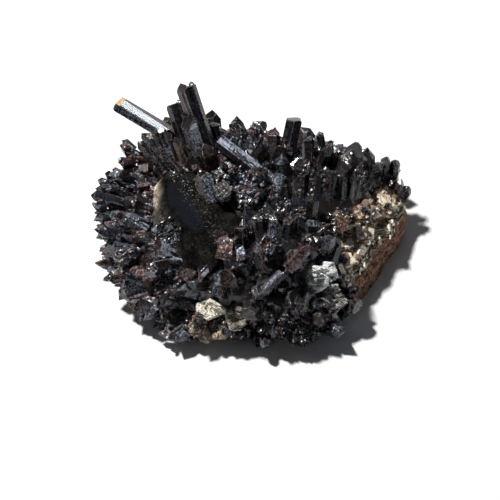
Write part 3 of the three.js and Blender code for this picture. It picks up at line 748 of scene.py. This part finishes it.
def druse(shape, each, wide, long, lean, chance, seed, near, keep=(0, 0, 0), reach=EVERYWHERE, turn=None, dusty=0.3,
          rusty=0.3, clear=True):
    """Small prisms on a shape. Each grows along its face's normal, pulled towards the spray's lean and swayed by
    smooth lumps, so that neighbours stand nearly parallel."""
    points, normals = on_solid(shape, each, chance, near, keep, reach)
    heading, rise, strength = lean
    sway = np.stack([lumpy(points, 7, seed + k) for k in range(3)], -1) - 0.5
    stray = chance.random(points.shape) - 0.5
    loose = 1 - strength
    axis = unit(normals * loose + towards(heading, rise) * strength + (sway * 1.6 + stray * 0.8) * loose)
    size = 0.6 + 0.9 * chance.random(len(points)) ** 2
    widths = wide * size
    lengths = np.maximum(long * size * (0.7 + 0.6 * chance.random(len(points))), widths * 1.3)
    root = points - axis * (SUNK * lengths)[:, None]
    return prisms(root, axis, lengths * (1 + SUNK), widths, chance, turn, dusty, rusty, clear)


# The sprays: node, piece, lean (heading, rise, strength), the square millimetres of crust to each of its medium,
# small and fine prisms, how far from the mound the medium ones still grow, how rusty and how dusty they are.
SPRAYS = [
    ("back_left_crystals", "back_left_spray", (128, 45, 0.7), 60, 24, 30, 4, 0.3, 0.6),
    ("centre_crystals", "centre_spray", (150, 60, 0.3), 70, 50, 36, 4, 0.3, 1),
    ("left_fan_crystals", "left_fan", (172, 10, 0.6), 34, 22, 30, 16, 0.7, 1.8),
    ("back_row_crystals", "back_row", (95, 40, 0.5), 60, 44, 40, 4, 0.4, 0.9),
    ("right_wall_crystals", "right_wall", (80, 70, 0.8), 160, 160, 60, 3, 0.1, 0.3),
    ("right_edge_crystals", "right_edge", (50, 60, 0.5), 50, 18, 10, 4, 0.3, 0.55),
    ("front_ridge_crystals", "front_ridge", (250, 45, 0.4), 44, 36, 30, 4, 0.4, 0.75),
    ("front_left_crystals", "front_left_spray", (195, 10, 0.5), 22, 30, 26, 6, 0.6, 1.6),
    ("front_middle_crystals", "front_middle_spray", (250, 20, 0.4), 30, 30, 24, 4, 0.4, 0.7),
    ("front_right_crystals", "front_right_spray", (290, 20, 0.4), 30, 30, 24, 4, 0.3, 0.7),
    ("rear_left_crystals", "rear_left_spray", (125, 0, 0.5), 30, 16, 20, 6, 0.5, 1),
    ("rear_right_crystals", "rear_right_spray", (80, -10, 0.5), 30, 16, 20, 4, 0.5, 1),
]
# The sizes of the prisms between the large ones: width, length, and how much further from the mound than the
# medium ones they still grow.
SIZES = [(4.6, 5.6, 0), (2.2, 2.8, 1.5), (1, 1.1, 2)]
# Patches of parallel druse that catch the light together: [middle, reach, heading, how rusty, how dusty, square
# millimetres to each prism, width], where those that a row leaves out are as patch has them.
PATCHES = [
    [(-3, -1, 43.5), 10, 240, 0.1, 1.4, 1, 1.3], [(8, -7, 39), 8, 60, 0.2, 0.7, 1.2, 1],
    [(10, -26, 38.5), 4, 240, 0, 1, 0.7, 0.9], [(-4, -26.5, 35), 3, 240, 0, 1.3, 0.5, 1],
    [(-18, -42, 9), 8, 270, 2.2, 1.2, 1.2, 1.5], [(19, -45, 12), 10, 270, 0.2, 0.5, 1.6, 1.2],
    [(45, 15, 31), 7, 60, 0.2, 1, 1.2, 1], [(35, -2, 32), 6, 300, 0.3, 0.7, 1.4, 1],
    [(-42, -9, 29), 10, 180, 0.5, 0.6, 1.4], [(0, 24, 38), 9, 90, 0.4, 0.7, 1.6, 1.2],
    [(27, 8, 38), 5, 60, 0.1, 0.7, 1.5, 1.2], [(23, -22, 33), 5, 240, 0.2, 0.7, 1.5, 1],
    [(-30, -34, 20), 7, 210, 0.6, 0.4, 2.2, 1.2], [(14, 13, 39), 2.6, 60], [(22, 10, 43), 2.6, 30, 0.1],
    [(31, 11, 39), 2.2, 30], [(33, -2, 32), 2.6, 0], [(30, -10, 31), 4, 0, 0.6, 1, 0.9, 1.2],
    [(36, -6.5, 30), 5.5, 330, 1.6, 1, 0.8, 1.3], [(7, -38, 29), 4, 270], [(19, -43, 16), 3.5, 300],
    [(16, -45, 10), 3, 300], [(-41, -3, 33), 2, 180], [(-51, -9, 18), 2.4, 180, 0.2], [(-46, -9, 31), 2.6, 180],
    [(-38, -14, 29), 3, 210, 0.1], [(-47, -21, 27), 3, 210, 0.1], [(-11, -41, 12), 4, 240, 0.4, 1, 0.9, 1.2],
    [(-4, -44, 11), 3, 270, 0.2], [(12, -5, 38), 3, 0], [(19, -8, 36), 3, 330, 0.1],
    [(26, -20, 30), 3, 330, 0.1], [(-39, -27, 17), 3, 210, 0.3, 0.8],
]
# Single crystals that stand out of a piece: root, length, width, heading and how dusty.
STANDING = {
    "centre_spray": [((16.5, 14, 35.5), 7, 5, 60, 1)],
    "right_wall": [
        ((37.5, 16.5, 32.5), 10.5, 9, 60, 0.15), ((42.5, 20.5, 33.5), 6.5, 6, 60, 0.2),
        ((20.5, 8.5, 40), 5, 3.6, 30, 0.6),
    ],
    "front_ridge": [((7.5, -24, 36), 5, 4.4, 240, 1.3)],
    "front_left_spray": [((-40.5, -12, 29), 6, 4, 210, 1.2)],
    "front_right_spray": [((20, -40, 13), 5.5, 5, 300, 0.7)],
}
# Long crystals that lie on a piece: root, tip, width, how many degrees the upper side rolls from the glint, how
# dusty, and how much it glitters.
LYING = {
    "front_ridge": [
        ((14, -33.5, 34), (23, -26, 39.8), 5, 18, 0.6, 0.1),
        ((12, -33.5, 31.5), (3.2, -41.5, 28.6), 4.4, 6, 0.5, 1),
    ],
}
# Angular blocks that sit on a piece: middle, width, how dusty and how rusty.
ROUGH_BLOCKS = {
    "right_wall": [((35.5, -6, 30), 6, 1.3, 1), ((38.5, -5, 28.5), 5, 1.3, 1.2)],
    "front_ridge": [
        ((-9.5, -25.5, 37), 6.5, 0.9, 0.7), ((-7, -28, 33.5), 5.5, 0.9, 0.7), ((-4, -27.5, 34.5), 5.5, 1.8, 0),
        ((7.5, -25, 38), 4, 1.6, 0),
    ],
    "front_middle_spray": [
        ((-20.5, -42, 10.5), 5.5, 1.5, 1.2), ((-16, -43.5, 8), 6, 1.7, 1.7), ((-11.5, -43, 9), 5.5, 1.7, 1.7),
        ((-18.5, -41.5, 14), 4.5, 1.5, 1.2),
    ],
}
# The facing that catches the key light, and how far a prism's end faces lean from its axis, in degrees.
GLINT = unit(np.array([-0.206, -0.241, 0.949]))
END_LEAN = 55
# How strongly a patch's prisms lean together, and how far from the mound they still grow.
PATCH_STRENGTH = 0.75
PATCH_NEAR = 60


def turn_to_glint(axis):
    """The turn, in degrees, that brings one side of a prism along an axis nearest the glint."""
    front, side = across(axis)
    return np.arctan2(GLINT @ side, GLINT @ front) / RAD - 30


def parallel(heading):
    """The rise and turn, in degrees, that face one end face of a prism of a heading to the glint: its axis makes
    the lean's angle with that facing."""
    level = GLINT[0] * np.cos(heading * RAD) + GLINT[1] * np.sin(heading * RAD)
    rise = np.arctan2(GLINT[2], level) - np.arccos(np.cos(END_LEAN * RAD) / np.hypot(level, GLINT[2]))
    return rise / RAD, turn_to_glint(towards(heading, rise / RAD))


def patch(shape, chance, seed, middle, reach, heading, rusty=0, dusty=1, each=0.8, wide=1.1, clear=True):
    """Parallel druse on a shape, within reach of a place, as long as it's wide."""
    rise, turn = parallel(heading)
    lean = heading, rise, PATCH_STRENGTH
    return druse(shape, each, wide, wide, lean, chance, seed, PATCH_NEAR, middle, reach, turn, dusty, rusty, clear)


def one_prism(root, axis, long, wide, turn, chance):
    return prisms(np.array([root]), axis[None], np.array([long]), np.array([wide]), chance, turn, 0, 0, False)


def standing(root, long, wide, heading, dusty, chance):
    """A single crystal that turns one end face as the parallel druse of its heading does."""
    rise, turn = parallel(heading)
    made = one_prism(root, towards(heading, rise), long, wide, turn, chance)
    made.looks[:, DUST] = dusty * chance.random(len(made.looks))
    return made


SQUARE = [(-1, -1), (1, -1), (1, 1), (-1, 1)]


def blocks(points, normals, size, chance, thick, pale):
    """Angular blocks: the eight corners of a box square to each normal, each pushed about by chance. thick is a
    block's height as a share of its width, pale how much of it is cream."""
    count = len(points)
    axis = unit(normals + 0.9 * (chance.random(points.shape) - 0.5))
    front, side = across(axis)
    spin = chance.random((count, 1)) * 2 * np.pi
    front, side = np.cos(spin) * front + np.sin(spin) * side, np.cos(spin) * side - np.sin(spin) * front
    corner = np.array([[x, y, z] for z in (-1, 1) for x, y in SQUARE], float)
    reach = corner[None] * (0.55 + 0.8 * chance.random((count, 8, 3))) * size[:, None, None] / 2
    reach[..., 2] *= thick
    turned = reach[..., :1] * front[:, None] + reach[..., 1:2] * side[:, None] + reach[..., 2:] * axis[:, None]
    place = points[:, None] + turned
    place = place[in_box(place)]
    count = len(place)
    faces = np.array([[3, 2, 1, 0], [4, 5, 6, 7], [0, 1, 5, 4], [1, 2, 6, 5], [2, 3, 7, 6], [3, 0, 4, 7]]).ravel()
    corners = (faces[None] + 8 * np.arange(count)[:, None]).ravel()
    shape = Shape(place.reshape(-1, 3), corners, np.full(count * 6, 4))
    shape.looks[:, DUST] = pale * chance.random(count * 6) ** 2
    shape.looks[:, KIN] = np.repeat(chance.random(count), 6)
    return shape


def lying(root, tip, wide, roll, dusty, spark, chance):
    """A single long crystal from root to tip, evenly dusty, one of its sides turned to the glint and rolled on."""
    axis = np.subtract(tip, root)
    long = length(axis)
    axis = axis / long
    made = one_prism(root, axis, long, wide, turn_to_glint(axis) + roll, chance)
    made.looks[:, DUST] = dusty * (0.6 + 0.4 * chance.random(len(made.looks)))
    made.looks[:, RUST] = 0
    made.looks[:, SPARK] = spark
    return made


def rough_block(middle, wide, dusty, rusty, chance):
    """A rough angular block and four smaller ones about it, dusty or rusty all over and glittering."""
    middles = np.array(middle) + np.concatenate([np.zeros((1, 3)), (chance.random((4, 3)) - 0.5) * wide])
    sizes = wide * np.array([1, 0.6, 0.5, 0.45, 0.4])
    made = blocks(middles, np.tile([0, -0.5, 0.85], (5, 1)), sizes, chance, 0.8, 0)
    made.looks[:, DUST] = dusty * (0.6 + 0.4 * chance.random(len(made.looks)))
    made.looks[:, RUST] = rusty * (0.8 + 0.2 * chance.random(len(made.looks)))
    made.looks[:, SPARK] = 1
    return made


def grow_sprays(finish):
    """Each spray: its worn solid, three sizes of prisms between its large ones, the patches of parallel druse that
    reach it, and the single crystals and blocks that stand out of it."""
    for number, (node, name, lean, *spacings, near, rusty, dusty) in enumerate(SPRAYS):
        chance = np.random.default_rng(100 + number)
        solid = solid_shape(worn_solid(node, WEAR), chance)
        grown = [solid]
        for step, (each, (wide, long, beyond)) in enumerate(zip(spacings, SIZES)):
            seed = number + 20 * step
            grown.append(druse(solid, each, wide, long, lean, chance, seed, near + beyond, rusty=rusty))
        common = joined(grown + [patch(solid, chance, number, *row) for row in PATCHES])
        common.looks[:, DUST] *= dusty
        single = []
        for table, made in ((STANDING, standing), (LYING, lying), (ROUGH_BLOCKS, rough_block)):
            single += [made(*row, chance) for row in table.get(name, [])]
        settle(name, joined([common, *single]), finish, "smoky_quartz", node)


def broad(finish):
    """The broad smooth crystal, with a patch of druse on its left shoulder and a few points along its ridge."""
    chance = np.random.default_rng(7)
    solid = solid_shape(worn_solid("broad_crystal", 0), chance)
    shoulder = patch(solid, chance, 60, (-32, -14, 32), 7, 210, 0.2, 0.8, 1.4, 1, False)
    ridge = patch(solid, chance, 61, (-16, -20, 36), 7, 240, 0.2, 0.3, 6, 0.5, False)
    settle("broad_crystal_piece", joined([solid, shoulder, ridge]), finish, "smoky_quartz", "broad_crystal")


# ---- host rock ----

# Lumps of the bare side: [x, y, z, heading, rise, half thickness, reach of each edge in turn].
LUMPS = [
    [52, 10, 19, 340, 40, 3.8, [4, 4.6, 3.8, 4.4, 4]],
    [58, 17, 15, 10, 35, 3.4, [4, 3.6, 4.2, 3.4, 4]],
    [46, 4, 23, 320, 45, 3.8, [4.4, 4, 4.6, 3.8, 4]],
    [45, -6, 20, 330, 35, 3, [3.4, 3, 3.6, 3.2, 3]],
    [39, -2, 25, 300, 50, 3.4, [4, 3.4, 3.8, 4, 3.4]],
    [54, 3, 14, 345, 20, 3.4, [4, 3.6, 4, 3.4, 3.8]],
    [42, -15, 14, 335, 25, 3.4, [3.8, 4, 3.4, 4, 3.6]],
]


def edge_bearings(edges):
    """The angles of a slab's edges, evenly spread."""
    return (np.arange(len(edges)) + 0.15) * 2 * np.pi / len(edges)


def lump_reach(origin, outward, lump):
    """How far level rays reach inside a lump, or 0 where they miss it. A ray is inside between the last plane that
    it enters by and the first that it leaves by."""
    x, y, z, heading, rise, half, edges = lump
    axis = towards(heading, rise)
    front, side = across(axis)
    turn = edge_bearings(edges)[:, None]
    rims = unit(np.cos(turn) * front + np.sin(turn) * side + 0.15 * axis)
    normals = np.concatenate([[axis, -axis], rims])
    offsets = normals @ np.array([x, y, z]) + np.array([half, half, *edges])
    speed = outward @ normals.T
    room = (offsets - origin @ normals.T) / np.where(np.abs(speed) < 1e-6, 1e-6, speed)
    leave = np.where(speed > 0, room, 1e6).min(-1)
    enter = np.where(speed < 0, room, -1e6).max(-1)
    return np.where(leave > np.maximum(enter, 0), leave, 0)


# How thick the rock's layers are, how many degrees each length of their edges spans, how large the chips are, and
# from what height the crest is broken more deeply.
LAYER = 1.3
EDGE_SPAN = 7
CHIP = 5
CREST = 16
# The columns of the rock's grid on its bare side and on the rest, and how far the bare side's reach each way, in
# degrees from its middle.
BARE_COLUMNS = 420
REST_COLUMNS = 70
BARE_FROM = -74
BARE_TO = 76


def rock_reach(turn, rise):
    """The middle, the outward direction and the reach of the rock at each angle and height: the mound's reach, or
    the lumps' if further, less the chips and layer edges of the bare side."""
    axis = np.concatenate([mound_axis(rise), rise[..., None]], -1)
    outward = np.stack([np.cos(turn * RAD), np.sin(turn * RAD), 0 * turn], -1)
    reach = side_share(rise, bareness(turn)) * reach_at(turn)
    for lump in LUMPS:
        reach = np.maximum(reach, lump_reach(axis, outward, lump))
    place = axis + outward * reach[..., None]
    shown = np.clip((BARE_TO - from_bare(turn)) / 6, 0, 1)
    warp = craggy(place, 14, 3, 3)
    sheet = np.floor((rise + warp * 6) / LAYER)
    ledge = cell_value(np.stack([sheet, np.floor(turn / EDGE_SPAN + warp * 6), 0 * sheet], -1), 5)
    chip = craggy(place * [1, 1, 1.6], CHIP, 11, 5)
    crest = np.clip((rise - CREST) / 3, 0, 1)
    inward = shown * ((0.6 + 0.5 * crest) * ledge + (1.4 + 2 * crest) * (0.35 - chip))
    inward = np.where(rise < 0.05, np.maximum(inward, 0.4), np.maximum(inward, 0))
    return axis, outward, np.maximum(reach - inward, 0.2)


def host_rock(finish):
    """The rock on a grid of angle and height, finer on its bare side, closed to its middle above and below."""
    angle = BARE_HEADING + np.concatenate([
        np.linspace(BARE_FROM, BARE_TO, BARE_COLUMNS, endpoint=False),
        np.linspace(BARE_TO, BARE_FROM + 360, REST_COLUMNS, endpoint=False),
    ])
    height = np.concatenate([[0, 0.02], np.linspace(0.3, 31, 110), np.linspace(32, TOP - 0.3, 8)])
    axis, outward, reach = rock_reach(*np.meshgrid(angle, height))
    place = np.clip(axis + outward * reach[..., None], BOX_LOW * [1, 1, 0], BOX_HIGH)
    place[0] = place[1] * [1, 1, 0]
    rows, columns = reach.shape
    points = np.concatenate([place.reshape(-1, 3), [[*MIDDLE, 0], [*(MIDDLE + TOP_SHIFT), TOP]]])
    first = np.arange(columns)
    after, last = (first + 1) % columns, (rows - 1) * columns
    under = np.stack([after, first, np.full(columns, rows * columns)], -1)
    over = np.stack([last + first, last + after, np.full(columns, rows * columns + 1)], -1)
    corners = np.concatenate([grid_faces(rows, columns, False), under.ravel(), over.ravel()])
    counts = np.repeat([4, 3], [last, 2 * columns])
    settle("host_rock_surface", Shape(points, corners, counts), finish, "host_rock", "host_rock")


def on_rock(count, headings, rises, chance):
    """Places by chance on the bare side, with their outward directions, which turn up as the side leans in."""
    turn = headings[0] + (headings[1] - headings[0]) * chance.random(count)
    rise = rises[0] + (rises[1] - rises[0]) * chance.random(count)
    axis, outward, reach = rock_reach(turn, rise)
    lean = np.clip((rise - 12) / 14, 0, 1)[:, None]
    return axis + outward * reach[:, None], unit(outward + lean * [0, 0, 1.6])


# The crust's blocks: how many, between which headings and heights, the least and greatest width, how thick and
# how pale. Its druse: how many, between which headings and heights, and how wide.
CRUST_BLOCKS = [
    (90, (-50, 42), (18, 31), 2, 5, 0.7, 0.35),
    (70, (-30, 34), (19, 30), 1.5, 3.5, 0.35, 0.9),
    (90, (-62, 44), (13, 20), 1.5, 3.5, 0.3, 0.15),
    (500, (-60, 44), (15, 33), 0.7, 1.6, 0.7, 0.7),
]
CRUST_DRUSE = [(30, (-60, 0), (20, 32), 2.4), (36, (0, 45), (24, 33), 2.2), (380, (-50, 42), (20, 33), 0.9)]


def crust(finish, quartz):
    """Blocks and thin flakes of feldspar on the bare side's upper part, and druse among them."""
    chance = np.random.default_rng(31)
    grown = []
    for count, headings, rises, low, high, thick, pale in CRUST_BLOCKS:
        points, normals = on_rock(count, headings, rises, chance)
        grown.append(blocks(points, normals, low + (high - low) * chance.random(count) ** 2, chance, thick, pale))
    settle("crust_blocks", joined(grown), finish, "cream_feldspar")
    grown = []
    for count, headings, rises, wide in CRUST_DRUSE:
        points, normals = on_rock(count, headings, rises, chance)
        axis = unit(normals + 0.7 * (chance.random(points.shape) - 0.5))
        widths = wide * (0.5 + chance.random(count))
        root = points - 0.4 * widths[:, None] * axis
        grown.append(prisms(root, axis, widths * 1.6, widths, chance, None, 1, 0.3, False))
    settle("crust_druse", joined(grown), quartz, "smoky_quartz")


# ---- mica and feldspar ----

# Each slab as [x, y, z, facing heading, rise, half thickness, reach of each edge in turn], with its layers.
SLABS = {
    "silver_flake": ([[25, -30, 24, 262, 58, 2.4, [5, 7, 5.5, 7, 4, 6.5, 5]],
                      [30, -27, 25, 280, 50, 2, [3, 4, 3.4, 3, 4]]], 5, 2.6),
    "grey_flake": ([[32, -34, 18, 300, 52, 1.8, [4, 5, 4, 4.6, 5]]], 4, 3),
    "cream_chunk": ([[-15, -39, 17, 250, 48, 3, [6, 3.6, 4, 5.6, 4, 3.4]]], 4, 3.4),
    "leaf_plate": ([[-4, -41, 16, 285, 55, 1.8, [7, 4.8, 4.4, 5, 6, 4.6]]], 5, 2.2),
}
FLAKE_ROWS = 34
FLAKE_TURNS = 120


def flake(slab, layers, grain, seed):
    """A cleaved slab on a grid of rows and turns, from the middle of its top out to its ragged edge and under to the
    middle of its bottom. The top steps down by whole layers where smooth lumps are low."""
    x, y, z, heading, rise, half, edges = slab
    axis = towards(heading, rise)
    front, side = across(axis)
    turn = np.arange(FLAKE_TURNS) * 2 * np.pi / FLAKE_TURNS
    facing = np.cos(turn[:, None] - edge_bearings(edges))
    rim = np.where(facing > 0.05, np.array(edges) / np.maximum(facing, 0.05), 99).min(1)
    ring = np.stack([np.cos(turn), np.sin(turn), 0 * turn], -1)
    ragged = 1.04 + 0.3 * craggy(ring * rim[:, None], grain * 1.5, seed, 4)
    out = np.concatenate([np.linspace(0.02, 1, FLAKE_ROWS), [1, 0.97, 0.02]])
    flat = ring[None] * (out[:, None] * rim * np.minimum(ragged, 1.06))[..., None]
    warp = craggy(flat * [1, 2.4, 1], grain * 2, seed + 9, 4)
    level = np.round(np.clip(0.5 + warp * 1.3, 0, 1) * layers) / layers
    fall = 1.1 * (1 - level), 0.5 * np.clip(out - 0.85, 0, 1)[:, None] / 0.15
    top = half * (1 - fall[0] - fall[1]) + 0.25 * craggy(flat, 1.5, seed, 2)
    height = np.where(np.arange(len(out))[:, None] < FLAKE_ROWS, np.maximum(top, -0.7 * half), -half)
    height[-3] = np.minimum(height[-4] - 0.2, -0.5 * half)
    place = np.array([x, y, z]) + flat[..., :1] * front + flat[..., 1:2] * side + height[..., None] * axis
    walls = (len(out) - 1) * FLAKE_TURNS
    cap = np.arange(FLAKE_TURNS)
    corners = np.concatenate([grid_faces(len(out), FLAKE_TURNS, True), cap, walls + cap[::-1]])
    shape = Shape(place.reshape(-1, 3), corners, np.repeat([4, FLAKE_TURNS], [walls, 2]))
    shape.looks[:walls, DUST] = np.clip((out[:-1] - 0.93) / 0.07, 0, 1).repeat(FLAKE_TURNS)
    return shape


# The node, the slot and the finish of each, which is its body, dark and rim colours and how rough it is at least.
PALE_FINISHES = [
    ("silver_flake", "silver_mica", (222, 227, 226), (120, 122, 120), (250, 252, 250), 0.25),
    ("grey_flake", "grey_mica", (100, 99, 96), (40, 39, 39), (206, 202, 194), 0.3),
    ("cream_chunk", "cream_feldspar", (236, 228, 208), (124, 106, 86), (252, 248, 238), 0.4),
    ("leaf_plate", "olive_feldspar", (96, 90, 78), (44, 40, 34), (196, 190, 172), 0.35),
]


def pale_pieces():
    """The mica flakes and feldspar pieces in front, each cleaved in layers."""
    for number, (node, slot, *look) in enumerate(PALE_FINISHES):
        slabs, layers, grain = SLABS[node]
        shape = joined([flake(slab, layers, grain, 10 * number + k) for k, slab in enumerate(slabs)])
        settle(node + "_piece", shape, flaky_finish(slot, *look), slot, node)


def main():
    quartz = smoky_quartz()
    grow_sprays(quartz)
    broad(broad_finish())
    host_rock(rock_finish())
    crust(crust_finish(), quartz)
    pale_pieces()


def pale_floor():
    """A plain pale floor under the cluster."""
    f = Finish("pale_floor")
    mesh = bpy.data.meshes.new("floor")
    mesh.from_pydata([(x * 4, y * 4, 0) for x, y in SQUARE], [], [(0, 1, 2, 3)])
    mesh.materials.append(f.close(f.skin((0.82, 0.83, 0.85, 1), 0.9)))
    floor = put_in("floor", mesh)


def turned(place, back, axis):
    """The place and turn of a camera or a lamp whose axis points along back."""
    return Matrix.Translation(place) @ back.to_track_quat(axis, "Y").to_matrix().to_4x4()


def soft_light(name, place, target, size, power, tint):
    """A square soft light at a place that faces a target, in metres and watts."""
    light = bpy.data.lights.new(name, "AREA")
    set_all(light, shape="SQUARE", size=size, energy=power, color=tint)
    put_in(name, light).matrix_world = turned(place, target - Vector(place), "-Z")


# Dim soft lights around the key light, which give the facets their sheen: [name, place, size, power].
LAMPS = [
    ("blade_sheen", (0.067, 0.589, 0.811), 0.06, 0.19),
    ("right_sheen", (0.59, 0.27, 0.745), 0.1, 0.08),
    ("left_sheen", (-0.62, -0.05, 0.76), 0.12, 0.1),
    ("front_fill", (-0.4, -0.85, 0.4), 0.14, 0.1),
    ("right_fill", (0.75, -0.5, 0.35), 0.14, 0.13),
    ("far_left_fill", (-0.88, 0.3, 0.3), 0.14, 0.1),
]


# Where the camera looks, in metres, how far above level it stands, in degrees, how far off, and its lens.
LOOKS_AT = (0, 0, 0.0056)
CAMERA_RISE = 50
CAMERA_AWAY = 0.7
LENS = 126


def studio():
    """The camera, the lights and the pale surroundings."""
    pale_floor()
    middle = Vector(LOOKS_AT)
    back = Vector((0, -np.cos(CAMERA_RISE * RAD), np.sin(CAMERA_RISE * RAD)))
    lens = bpy.data.cameras.new("camera")
    set_all(lens, lens=LENS, sensor_width=36, clip_start=0.01)
    camera = put_in("camera", lens)
    camera.matrix_world = turned(middle + CAMERA_AWAY * back, back, "Z")
    bpy.context.scene.camera = camera
    soft_light("key", (-0.363, 0.218, 0.907), middle, 0.09, 16, (1, 0.98, 0.95))
    for name, place, size, power in LAMPS:
        soft_light(name, place, middle, size, power, (0.88, 0.94, 1))
    world = bpy.data.worlds.new("pale_surroundings")
    world.use_nodes = True
    glow = world.node_tree.nodes["Background"].inputs
    glow["Color"].default_value = (0.82, 0.9, 1, 1)
    glow["Strength"].default_value = 0.045
    bpy.context.scene.world = world
    bpy.context.scene.view_settings.view_transform = "Standard"


main()
studio()
